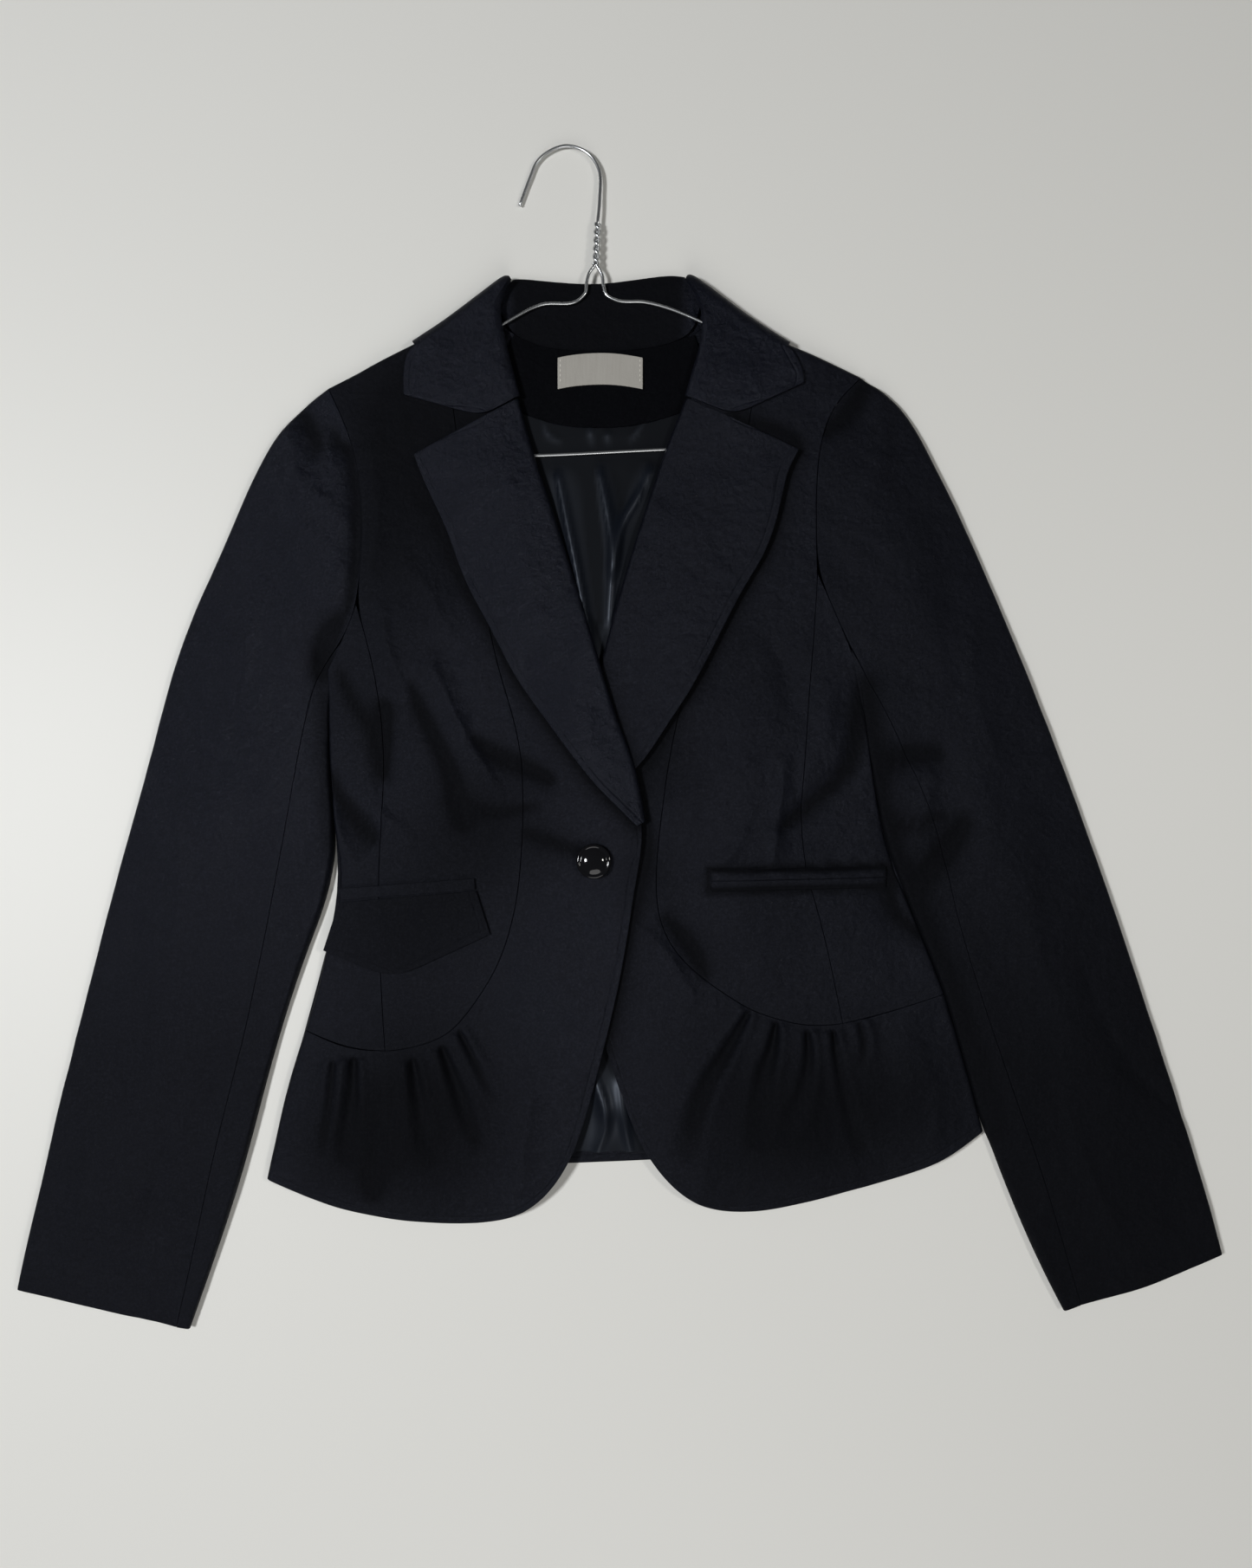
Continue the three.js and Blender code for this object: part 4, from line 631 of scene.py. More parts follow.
def smooth_line(rows, steps):
    """A smooth curve through the rows, which keeps calm where they lie close together."""
    points = np.array(rows, float)
    spans = np.linalg.norm(points[1:] - points[:-1], axis=1)[:, None]
    units = (points[1:] - points[:-1]) / spans
    middle = (units[:-1] * spans[1:] + units[1:] * spans[:-1]) / (spans[1:] + spans[:-1])
    slopes = np.vstack([units[:1], middle, units[-1:]])
    shares = np.linspace(0, 1, steps, endpoint=False)[:, None]
    t2, t3 = shares**2, shares**3
    parts = []
    for k, span in enumerate(spans):
        p, q, a, b = points[k], points[k + 1], slopes[k] * span, slopes[k + 1] * span
        near_first = (2 * t3 - 3 * t2 + 1) * p + (t3 - 2 * t2 + shares) * a
        near_second = (3 * t2 - 2 * t3) * q + (t3 - t2) * b
        parts.append(near_first + near_second)
    return np.vstack([*parts, points[-1:]])


def walk(line, pitch):
    """Evenly spaced points on a line in mm, with the direction at each."""
    line = np.asarray(line, float)
    steps = np.hypot(*(line[1:] - line[:-1]).T)
    sums = np.concatenate([[0], np.cumsum(steps)])
    for distance in np.arange(pitch / 2, sums[-1], pitch):
        k = min(int(np.searchsorted(sums, distance)) - 1, len(steps) - 1)
        unit = (line[k + 1] - line[k]) / steps[k]
        yield line[k] + unit * (distance - sums[k]), unit


SHARP = ("right_flap", "left_welts")
EDGE_LINES = {name: smooth_line(rows, 1 if name in SHARP else 8) for name, rows in EDGES.items()}
SEAM_LINES = {name: smooth_line(rows, 8) for name, rows in SEAMS.items()}
print("edges:", len(EDGE_LINES), "seams:", len(SEAM_LINES))

# %% [markdown]
# ## Creases
# The largest folds are in the CAD solids. Here each finer crease is one row: the points it
# runs through, how high it stands or how deep it sinks, how wide it is on its left and on
# its right side, and the cloth it belongs to. A crease with one steep side looks pressed,
# and one with two soft sides looks like a roll of air under the cloth.

# %% Crease tables
CREASES = {
    "front": [
        # front at the wearer's right
        (px((446, 815), (442, 850), (442, 895)), -2.2, (5, 8)),
        (px((462, 645), (490, 673), (521, 736)), 0.72, (7, 9)),
        (px((474, 791), (500, 845), (521, 890), (537, 950)), -1.6, (5, 7)),
        (px((545, 851), (577, 871), (600, 880), (636, 898)), -2.2, (4, 6)),
        (px((440, 700), (452, 760), (470, 800)), 1.0, (6, 8)),
        (px((379, 898), (402, 930), (430, 966)), -2.2, (5, 8)),
        (px((383, 925), (400, 985), (418, 1010)), 1.2, (6, 7)),
        (px((610, 960), (650, 975), (690, 990)), -1.0, (5, 7)),
        (px((430, 520), (436, 600), (424, 690)), 1.08, (12, 12)),
        (px((479, 526), (500, 580), (537, 669), (596, 783), (640, 845)), -0.84, (22, 15)),
        (px((392, 775), (410, 812), (440, 850)), -1.3, (3, 4)),
        (px((398, 905), (430, 930), (478, 972)), 1.2, (4, 5)),
        (px((500, 770), (540, 850), (580, 918)), 0.9, (4, 6)),
        (px((520, 920), (560, 935), (620, 930)), -0.8, (3, 4)),
        (px((560, 1010), (600, 1090), (610, 1170)), 0.48, (7, 9)),
        # front at the wearer's left
        (px((1003, 775), (992, 842), (985, 876), (956, 912), (903, 955)), -2.6, (4, 6)),
        (px((960, 800), (950, 860), (925, 900)), 0.9, (4, 5)),
        (px((860, 960), (840, 990), (790, 1010)), 0.8, (4, 6)),
        (px((730, 1060), (770, 1100), (800, 1150)), 0.8, (6, 8)),
        (px((975, 850), (955, 895), (915, 925)), 1.4, (6, 7)),
        (px((760, 935), (800, 915), (860, 880)), 0.66, (8, 9)),
        (px((890, 1000), (898, 950), (905, 880)), 1.1, (6, 8)),
        (px((880, 730), (905, 770), (915, 820)), -0.6, (9, 9)),
        (px((770, 1060), (800, 1095), (815, 1125)), -1.2, (7, 8)),
        (px((1040, 990), (1030, 1040), (1062, 1080)), -1.2, (5, 7)),
        (px((915, 540), (898, 592), (858, 679), (814, 765)), -0.6, (10, 14)),
        # lapels and collar
        (px((590, 560), (600, 640), (640, 760)), 0.36, (14, 16)),
        (px((830, 560), (800, 660), (760, 780)), 0.36, (14, 16)),
        # pockets at the wearer's left, sewn into the front
        (px((818, 1004), (900, 1002), (1024, 1000)), -1.3, (1.8, 2.4)),
        (px((818, 1028), (900, 1026), (1024, 1024)), -1.1, (2.4, 1.6)),
        # hem of the peplum
        (px((612, 1230), (610, 1290), (600, 1370)), 0.72, (8, 9)),
        (px((560, 1270), (575, 1320), (580, 1390)), -0.66, (8, 9)),
        (px((436, 1300), (436, 1340), (430, 1380)), -1.8, (5, 6)),
        (px((820, 1330), (812, 1360), (805, 1390)), 0.6, (8, 9)),
        (px((1060, 1210), (1080, 1260), (1075, 1320)), 0.6, (9, 10)),
    ],
    "sleeve": [
        # sleeve at the wearer's right
        (px((345, 470), (362, 495), (368, 520)), -1.8, (4, 6)),
        (px((385, 495), (392, 510), (412, 520)), -1.2, (4, 5)),
        (px((404, 516), (413, 571), (414, 620), (410, 665), (402, 705)), -1.8, (3, 5)),
        (px((330, 500), (351, 560), (400, 600)), 0.9, (7, 9)),
        (px((318, 540), (352, 610), (402, 660)), 0.96, (8, 10)),
        (px((392, 715), (378, 740), (370, 775)), -2.4, (6, 8)),
        (px((300, 640), (345, 690), (400, 700)), -0.72, (8, 9)),
        (px((290, 700), (280, 790), (255, 860)), 0.78, (10, 12)),
        (px((236, 720), (262, 790), (275, 850)), -0.72, (9, 10)),
        (px((210, 800), (240, 870), (292, 905)), -0.84, (7, 9)),
        (px((180, 880), (205, 960), (210, 1060)), 0.66, (9, 11)),
        (px((150, 1020), (168, 1140), (160, 1260)), -0.6, (9, 11)),
        (px((120, 1230), (100, 1350), (80, 1470)), 0.66, (8, 10)),
        (px((200, 1260), (180, 1370), (150, 1490)), -0.6, (8, 10)),
        # sleeve at the wearer's left
        (px((1000, 900), (1030, 905), (1072, 888)), 0.9, (4, 5)),
        (px((1012, 930), (1045, 950), (1090, 940)), -1.0, (3, 5)),
        (px((1003, 440), (985, 475), (955, 500)), -1.5, (4, 7)),
        (px((1018, 455), (1020, 520), (1000, 580)), 0.72, (8, 10)),
        (px((1001, 884), (1040, 872), (1083, 868)), -1.9, (5, 7)),
        (px((1115, 949), (1085, 995), (1051, 1034)), -1.6, (6, 8)),
        (px((1075, 900), (1068, 960), (1085, 1010)), 0.78, (8, 9)),
        (px((1120, 720), (1125, 800), (1150, 880)), 0.54, (12, 14)),
        (px((1180, 1000), (1200, 1110), (1240, 1200)), 0.6, (12, 13)),
        (px((1250, 1120), (1290, 1210), (1365, 1290)), -0.72, (7, 9)),
        (px((1225, 1260), (1255, 1350), (1300, 1440)), 0.6, (10, 12)),
    ],
    "back": [
        # the hidden back, pressed a little by lying on it
        ([(-120, 190), (-60, 150), (10, 160)], -0.3, (7, 9)),
        ([(130, 120), (80, 60), (90, -20)], -0.3, (6, 9)),
        ([(-100, 30), (-90, -60), (-120, -150)], -0.45, (8, 8)),
        ([(40, -90), (50, -150), (30, -200)], -0.45, (6, 8)),
    ],
}
CREASES = {on: table(("path", "height", "wide"), rows) for on, rows in CREASES.items()}

# Pleats are troughs that open downwards. "wide" is the half width at the seam and at the end.
PLEATS = table(("path", "depth", "wide"), [
    (px((385, 1222), (382, 1262), (370, 1338)), 2.4, (1.4, 4.5)),
    (px((408, 1219), (408, 1252), (396, 1348)), 3.6, (2.2, 6.9)),
    (px((476, 1220), (481, 1255), (498, 1348)), 3.8, (2.2, 7.2)),
    (px((509, 1206), (521, 1238), (556, 1335)), 3.6, (2.0, 6.6)),
    (px((529, 1187), (545, 1218), (574, 1278)), 2.4, (1.2, 3.6)),
    (px((866, 1165), (841, 1210), (815, 1253), (797, 1300), (788, 1350)), 4.1, (1.2, 11.2)),
    (px((896, 1178), (892, 1207), (883, 1240), (880, 1273), (876, 1330)), 4.1, (1.2, 11.2)),
    (px((931, 1187), (933, 1217), (929, 1250), (917, 1287), (900, 1322)), 3.6, (1.2, 7.5)),
    (px((961, 1187), (967, 1227), (978, 1273), (988, 1313), (998, 1342)), 3.4, (1.2, 5.4)),
    (px((991, 1177), (997, 1200), (994, 1230)), 2.9, (1.3, 3.0)),
])
print("creases:", {on: len(rows) for on, rows in CREASES.items()}, "pleats:", len(PLEATS))

# %% [markdown]
# A crease is felt at a point by how far the point is along and across its path. The
# functions below work on whole arrays of points at once, because a panel has tens of
# thousands of them.

# %% Measuring along and across a line
def along_and_across(points, line):
    """Distance along a line, signed distance across it and how far past its ends, in mm."""
    line = np.asarray(line, float)
    best = np.full(len(points), np.inf)
    along = np.zeros(len(points))
    across = np.zeros(len(points))
    past = np.zeros(len(points))
    start = 0.0
    for k, (a, b) in enumerate(zip(line[:-1], line[1:])):
        step = b - a
        length = np.hypot(*step)
        unit = step / length
        t = (points - a) @ unit
        s = (points - a) @ np.array((-unit[1], unit[0]))
        inside = np.clip(t, 0, length)
        gap = np.hypot(t - inside, s)
        closer = gap < best
        best = np.where(closer, gap, best)
        along = np.where(closer, start + inside, along)
        across = np.where(closer, np.where(s < 0, -1, 1) * gap, across)
        over = np.zeros(len(points))
        if k == 0:
            over = np.maximum(-t, 0)
        if k == len(line) - 2:
            over = np.maximum(over, t - length)
        past = np.where(closer, over, past)
        start += length
    return along, across, past, start


def near(points, line, reach):
    """The numbers of the points that lie within reach of the line's own box, in mm."""
    low, high = line.min(0) - reach, line.max(0) + reach
    return np.nonzero(((points > low) & (points < high)).all(1))[0]


# A fold's crest is sharp to this share of its width; it thins to its ends and dies out past them.
CREST = 0.22
FALL = 1.5
CREASE_GAIN = 2.6
SWELL = (0.55, 0.45)
PAST_END = 7.0


def crease_height(points, row):
    """A fold that is bent sharply along its crest and runs out softly on both sides."""
    line = smooth_line(row["path"], 5)
    height = np.zeros(len(points))
    close = near(points, line, 4 * max(row["wide"]))
    along, across, past, length = along_and_across(points[close], line)
    side = np.where(across > 0, row["wide"][0], row["wide"][1])
    swell = SWELL[0] + SWELL[1] * np.sin(math.pi * along / length)
    ends = np.exp(-((past / PAST_END) ** 2))
    bend = np.sqrt((across / side) ** 2 + CREST**2) - CREST
    height[close] = CREASE_GAIN * row["height"] * swell * ends * np.exp(-FALL * bend)
    return height


PLEAT = {"reach": 25.0, "start": 3.0, "fade": 0.8, "roll": 1.5, "roll_at": 3.2, "roll_wide": 3.2}


def pleat_height(points, row):
    path = smooth_line(row["path"], 5)
    height = np.zeros(len(points))
    close = near(points, path, PLEAT["reach"])
    along, across, past, length = along_and_across(points[close], path)
    share = along / length
    wide = row["wide"][0] + (row["wide"][1] - row["wide"][0]) * share
    fade = np.clip(along / PLEAT["start"], 0, 1) * (1 - share) ** PLEAT["fade"] * (past == 0)
    trough = -row["depth"] * np.exp(-((across / wide) ** 2))
    beside = (np.abs(across) - wide - PLEAT["roll_at"]) / PLEAT["roll_wide"]
    roll = PLEAT["roll"] * np.exp(-(beside**2))
    height[close] = (trough + roll) * fade
    return height


HILLS = 128


def eased(share):
    return share * share * (3 - 2 * share)


def waver(points, size, seed):
    """Smooth random hills about size mm wide, between -1 and 1."""
    grid = np.random.default_rng(seed).uniform(-1, 1, (HILLS, HILLS))
    place = points / size + HILLS / 2
    cell = np.floor(place).astype(int)
    u, v = (place - cell).T
    u, v = eased(u), eased(v)
    i, j = (cell % HILLS).T
    k, m = (i + 1) % HILLS, (j + 1) % HILLS
    low = grid[i, j] * (1 - u) + grid[k, j] * u
    high = grid[i, m] * (1 - u) + grid[k, m] * u
    return low * (1 - v) + high * v


# %% [markdown]
# ## Dressing a panel
# A CAD panel is a thin closed slab of loose triangles. Its copy is merged, its triangles
# are joined back to four-sided faces, and its rim is bevelled, so that the cut edge of
# the cloth turns over softly. Two rounds of subdivision give it enough points for
# creases, and the last moves are made point by point.

# %% From CAD slab to smooth cloth
SLAB = {"merge": 0.004, "join": 40, "shape": 75, "rim_angle": 50, "rim": 0.3}


def is_rim(edge):
    return len(edge.link_faces) == 2 and edge.calc_face_angle() > math.radians(SLAB["rim_angle"])


def applied(thing):
    """The mesh of an object with its modifiers, and the object is taken away."""
    bpy.context.view_layer.update()
    made = bpy.data.meshes.new_from_object(thing.evaluated_get(bpy.context.evaluated_depsgraph_get()))
    bpy.data.objects.remove(thing)
    return made


def cloth_mesh(node, rounds, rim=SLAB["rim"]):
    bm = bmesh.new()
    bm.from_mesh(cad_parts[node].data)
    bmesh.ops.remove_doubles(bm, verts=bm.verts, dist=SLAB["merge"] * MM)
    bmesh.ops.join_triangles(bm, faces=bm.faces, angle_face_threshold=math.radians(SLAB["join"]),
                             angle_shape_threshold=math.radians(SLAB["shape"]))
    rims = [edge for edge in bm.edges if is_rim(edge)]
    bmesh.ops.bevel(bm, geom=rims, offset=rim * MM, offset_type="OFFSET", affect="EDGES", segments=2,
                    profile=0.5, material=-1, clamp_overlap=True)
    draft = added(node + "_draft", mesh_of(bm, node + "_draft"))
    smooth = draft.modifiers.new("smooth", "SUBSURF")
    smooth.levels = smooth.render_levels = rounds
    return applied(draft)


def positions(mesh):
    flat = np.empty(len(mesh.vertices) * 3)
    mesh.vertices.foreach_get("co", flat)
    return flat.reshape(-1, 3) / MM


def set_positions(mesh, points):
    mesh.vertices.foreach_set("co", (points * MM).ravel())
    mesh.update()


def keep_values(mesh, name, values):
    layer = mesh.attributes.new(name, "FLOAT", "POINT")
    layer.data.foreach_set("value", values.astype(np.float32))


FINE_PITCH = 0.5
FAR = 1000.0


def distance_to(lines, points):
    """How far each point is from the nearest of the lines, in mm."""
    dense = [point for line in lines for point, unit in walk(line, FINE_PITCH)]
    if not dense:
        return np.full(len(points), FAR)
    tree = KDTree(len(dense))
    for k, point in enumerate(dense):
        tree.insert((*point, 0), k)
    tree.balance()
    return np.array([tree.find((x, y, 0))[2] for x, y in points[:, :2]])


# %% Moving the cloth
LOWEST_TOP = (2.6, 4.4)
DEEPEST = 2.4
TUCK_WIDE = 9
HILL_WAVES = 0.9
# How much shade is painted into the hollows of pleats and of narrow tucks.
SHADES = {"pleat": 0.75, "tuck": 0.85}


def hill_height(flat):
    """Low hills of three sizes, in mm."""
    return waver(flat, 46.0, 3) + 0.4 * waver(flat[:, ::-1], 17.0, 9) + 0.16 * waver(flat, 8.0, 4)


def hollow(height):
    return np.clip(-height / DEEPEST, 0, 1)


def shape_cloth(points, on):
    """What the creases add to the height, in mm, and how much shade is painted into their hollows."""
    flat = points[:, :2]
    tucks, rolls, pleats = (np.zeros(len(points)) for sort in range(3))
    for row in CREASES.get(on, []):
        sort = tucks if max(row["wide"]) < TUCK_WIDE else rolls
        sort += crease_height(flat, row)
    folds = tucks + rolls
    folds = np.where(folds < 0, DEEPEST * np.tanh(folds / DEEPEST), folds)
    if on == "front":
        for row in PLEATS:
            pleats += pleat_height(flat, row)
    upper = eased(np.clip((points[:, 2] - LOWEST_TOP[0]) / (LOWEST_TOP[1] - LOWEST_TOP[0]), 0, 1))
    if on == "back":
        upper = 1 - upper
    shade = SHADES["pleat"] * hollow(pleats) + SHADES["tuck"] * hollow(tucks)
    return (folds + pleats + HILL_WAVES * hill_height(flat)) * upper, shade * upper


def finish_piece(mesh, name, node, material):
    mesh.name = name
    mesh.materials.clear()
    mesh.materials.append(material)
    mesh.shade_smooth()
    piece = added(name, mesh)
    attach(piece, "root")
    if node:
        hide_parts(node)
    return piece


# %% [markdown]
# Each row below is one panel: its CAD node, the cloth whose creases it takes, how many
# rounds of subdivision it needs, the width, length and area, in metres, that it was cut to,
# and how much shade is painted into its colour at the top and at the bottom. Then come its
# finished edges, its seams, and the edges that lie over it or beside it, along which a shadow
# is painted on it. Panels that lie on each other share the same creases, so they stay apart.

# %% Panels of suiting
PANEL_COLUMNS = ("node", "on", "rounds", "flat", "area", "shade")
PANELS = [
    ("back", "back", 2, (0.471, 0.566), 0.197, (0.4, 0.4), {"edges": ["back_hem"]}),
    ("right_front_centre", "front", 3, (0.203, 0.598), 0.054, (0.15, 0.15),
     {"edges": ["right_front"], "seams": ["right_princess", "right_hip"], "under": ["right_lapel"]}),
    ("right_front_middle", "front", 3, (0.109, 0.467), 0.0371, (0.15, 0.15),
     {"seams": ["right_princess", "right_hip", "right_side_front", "right_armhole"],
      "under": ["right_lapel"]}),
    ("right_front_side", "front", 2, (0.053, 0.293), 0.01, (0.15, 0.15),
     {"seams": ["right_side_front", "right_hip", "right_armhole"]}),
    ("left_front_centre", "front", 3, (0.227, 0.581), 0.0533, (0.3, 0.3),
     {"edges": ["left_front"], "seams": ["left_princess", "left_hip"],
      "under": ["left_lapel", "right_front"], "beside": ["left_welts"]}),
    ("left_front_middle", "front", 3, (0.126, 0.455), 0.0348, (0.3, 0.3),
     {"seams": ["left_princess", "left_hip", "left_side_front", "left_armhole"],
      "under": ["left_lapel"], "beside": ["left_welts"]}),
    ("left_front_side", "front", 2, (0.068, 0.291), 0.0134, (0.3, 0.3),
     {"seams": ["left_side_front", "left_hip", "left_armhole"], "beside": ["left_welts"]}),
    ("right_lapel", "front", 2, (0.076, 0.291), 0.0162, (0, 0), {"edges": ["right_lapel"]}),
    ("left_lapel", "front", 2, (0.084, 0.278), 0.0184, (0.25, 0.25),
     {"edges": ["left_lapel"], "under": ["right_front"], "raise": 2.2}),
    ("collar", "front", 2, (0.095, 0.5), 0.0254, (0, 0), {"edges": ["right_collar", "left_collar"]}),
    ("right_sleeve_top", "sleeve", 3, (0.118, 0.627), 0.0612, (0.05, 0.55),
     {"seams": ["right_armhole", "right_forearm"]}),
    ("right_sleeve_under", "sleeve", 2, (0.15, 0.627), 0.0805, (0.05, 0.55),
     {"seams": ["right_armhole", "right_forearm"]}),
    ("left_sleeve_top", "sleeve", 3, (0.118, 0.628), 0.0607, (0.45, 0.9),
     {"seams": ["left_armhole", "left_forearm"]}),
    ("left_sleeve_under", "sleeve", 2, (0.15, 0.629), 0.0807, (0.45, 0.9),
     {"seams": ["left_armhole", "left_forearm"]}),
    ("right_pocket_welt", "front", 1, (0.0102, 0.092), 0.00075, (0.2, 0.2), {}),
    ("right_pocket_flap", "front", 2, (0.051, 0.111), 0.0045, (0.4, 0.4), {"edges": ["right_flap"]}),
    ("left_pocket_welt_upper", "front", 2, (0.0102, 0.116), 0.00095, (0.3, 0.3),
     {"beside": ["left_welts"]}),
    ("left_pocket_welt_lower", "front", 2, (0.0102, 0.116), 0.00095, (0.3, 0.3),
     {"beside": ["left_welts"]}),
    ("back_neck_facing", "inside", 2, (0.061, 0.152), 0.0068, (1, 1), {"cloth": PAINTED_SHADE_SUITING}),
]
PANELS = [{**dict(zip(PANEL_COLUMNS, row)), **row[-1]} for row in PANELS]
LEVELS = (20, -150)


# In the neck the stand of the collar lies in its own shade, which is painted into its colour.
NECK = {"low": 300, "high": 308, "middle": -9, "half": 62, "soft": 8}
# The sleeves lie against the body, closer than the plain solids do.
SLEEVE_SIDES = {
    "right": [(-189.2, 106), (-188.3, 70), (-187.8, 43), (-185.4, 15), (-182.7, -10)],
    "left": [
        (168.8, 97), (172, 57), (178.3, 17), (184.3, -10),
        (203.2, -59), (222, -107), (236, -154), (247.2, -194),
    ],
}
RAISED_EDGE = 18.0
NUDGE = {"right": 0.45, "left": -1.3, "reach": 10.0}


# Shade painted on the fronts where less light reaches them: the middle of each dim patch, its size and its
# depth.
PATCHES = table(("at", "size", "shade"), [
    ((475, 470), 62, 0.9),
    ((450, 640), 58, 0.6),
    ((420, 800), 40, 0.3),
    ((470, 1060), 58, 0.4),
    ((560, 950), 46, 0.6),
    ((480, 1290), 66, 0.95),
    ((385, 1330), 34, 0.3),
    ((900, 1290), 62, 0.7),
    ((1040, 1270), 48, 0.45),
    ((880, 760), 40, 0.2),
    ((900, 1050), 44, 0.15),
    ((765, 880), 26, 0.35),
    ((745, 1010), 22, 0.35),
])
# Painted shadow next to edges that lie over a panel or beside it, and on each sleeve along the side of the
# body: how dark it is and its reach in mm.
EDGE_SHADE = {"under": {"shade": 1.3, "reach": 4.6}, "beside": {"shade": 0.9, "reach": 1.4}}
SLEEVE_EDGE_SHADOW = {"shade": 0.6, "reach": 9.0}


def painted_shade_patches(points):
    total = np.zeros(len(points))
    for row in PATCHES:
        middle = np.array(px(row["at"])[0])
        gap = np.hypot(*(points[:, :2] - middle).T)
        total += row["shade"] * np.exp(-((gap / row["size"]) ** 2))
    return total


def neck_shade(points):
    x, y = points[:, 0], points[:, 1]
    high = np.clip((y - NECK["low"]) / (NECK["high"] - NECK["low"]), 0, 1)
    inside = np.clip((NECK["half"] - np.abs(x - NECK["middle"])) / NECK["soft"], 0, 1)
    return high * inside


def nudge_to_body(side, points):
    close = np.exp(-((distance_to([SLEEVE_SIDES[side]], points) / NUDGE["reach"]) ** 2))
    points[:, 0] += NUDGE[side] * close


def panel_shade(row, points):
    """How much shade is painted into the colour at each point, apart from the painted shade in the hollows of
    the folds.
    """
    high, low = row["shade"]
    down = np.clip((LEVELS[0] - points[:, 1]) / (LEVELS[0] - LEVELS[1]), 0, 1)
    shade = high + (low - high) * down
    if row["node"] == "collar":
        return shade + neck_shade(points)
    if row["on"] == "front" and "lapel" not in row["node"]:
        shade = shade + painted_shade_patches(points)
    for kind, far in EDGE_SHADE.items():
        if kind in row:
            gap = distance_to([EDGE_LINES[name] for name in row[kind]], points)
            shade = shade + far["shade"] * np.exp(-gap / far["reach"])
    if row["on"] == "sleeve":
        gap = distance_to([SLEEVE_SIDES[row["node"].split("_")[0]]], points)
        shade = shade + SLEEVE_EDGE_SHADOW["shade"] * np.exp(-((gap / SLEEVE_EDGE_SHADOW["reach"]) ** 2))
    return shade


def dress(row):
    mesh = cloth_mesh(row["node"], row["rounds"])
    points = positions(mesh)
    hem = distance_to([EDGE_LINES[name] for name in row.get("edges", [])], points)
    seam = distance_to([SEAM_LINES[name] for name in row.get("seams", [])], points)
    height, hollows = shape_cloth(points, row["on"])
    points[:, 2] += height + row.get("raise", 0) * np.exp(-((hem / RAISED_EDGE) ** 2))
    if row["on"] == "sleeve":
        nudge_to_body(row["node"].split("_")[0], points)
    points[:, 2] = np.maximum(points[:, 2], 0)
    set_positions(mesh, points)
    keep_values(mesh, "hem", hem * MM)
    keep_values(mesh, "seam", seam * MM)
    # The painted shade of the fold hollows and of the panel, kept as the attribute shade.
    keep_values(mesh, "shade", np.clip(hollows + panel_shade(row, points), 0, 1))
    cloth = row.get("cloth", BLACK_SUITING)
    piece = finish_piece(mesh, row["node"] + "_cloth", row["node"], cloth)
    return piece


pieces = {row["node"]: dress(row) for row in PANELS}
total = sum(len(piece.data.polygons) for piece in pieces.values())
print("dressed panels:", len(pieces), "faces:", total)

# %% [markdown]
# ## Lining and label
# Inside the neck the satin falls in long folds down from the facing, caught by the light
# along their ridges, and shade is painted into the satin between them and up by the facing.
# They start below the hanger's bar, which lies on the satin.

# %% Lining folds
LINING_FOLDS = table(("path", "height", "wide"), [
    (px((644, 548), (654, 600), (664, 650), (680, 740), (690, 800)), 3.2, (5, 4)),
    (px((681, 532), (684, 580), (688, 640), (692, 720)), -1.6, (3.5, 3.5)),
    (px((691, 542), (699, 580), (705, 620), (703, 720)), 2.8, (5, 3.5)),
    (px((713, 545), (718, 570), (716, 600)), -0.8, (4, 4)),
    (px((750, 540), (735, 575), (720, 600), (708, 660)), 2.8, (4, 4)),
    (px((626, 485), (634, 502), (647, 510)), 0.9, (3, 4)),
    (px((680, 490), (682, 500), (683, 509)), 1.0, (4, 4)),
    (px((691, 494), (691, 503), (691, 510)), -0.8, (1.8, 1.8)),
    (px((700, 498), (701, 505), (701, 509)), 0.8, (3, 3)),
    (px((748, 480), (738, 495), (728, 508)), 0.9, (3, 4)),
    (px((688, 1245), (700, 1290), (690, 1330)), 3.0, (6, 8)),
    (px((715, 1250), (722, 1300), (728, 1330)), 2.2, (5, 6)),
])
BAR = [(-172, 247), (-50, 248), (35, 252), (154, 257)]
BAR_CLEAR = (3.5, 11.0)
LINING_HILLS = {"high": 0.35, "size": 24.0, "seed": 5}
LOOSE = 0.25
LINING_SHADE = {"low": 1.0, "ridge": 3.0, "top": 0.35, "from": 225, "over": 45}


def lining_piece():
    mesh = cloth_mesh("back_lining", 3)
    points = positions(mesh)
    flat = points[:, :2]
    lift = LINING_HILLS["high"] * waver(flat, LINING_HILLS["size"], LINING_HILLS["seed"]) + LOOSE
    for row in LINING_FOLDS:
        lift += crease_height(flat, row)
    clear = np.clip((distance_to([BAR], points) - BAR_CLEAR[0]) / (BAR_CLEAR[1] - BAR_CLEAR[0]), 0, 1)
    points[:, 2] += np.maximum(lift * clear, -LOOSE)
    set_positions(mesh, points)
    # Painted shade on the satin: full in the valleys, none on ridges 3 mm high, and more towards the facing at
    # the top.
    above = np.clip((points[:, 1] - LINING_SHADE["from"]) / LINING_SHADE["over"], 0, 1)
    shade = LINING_SHADE["low"] - lift / LINING_SHADE["ridge"] + LINING_SHADE["top"] * above
    keep_values(mesh, "shade", np.clip(shade, 0, 1))
    piece = finish_piece(mesh, "back_lining_satin", "back_lining", SATIN_LINING)
    return piece


LABEL = {"arch": 2.3, "half": 28.2, "rim": 0.25, "lift": 0.3}
LABEL_HILLS = {"high": 0.35, "size": 14.0, "seed": 2}


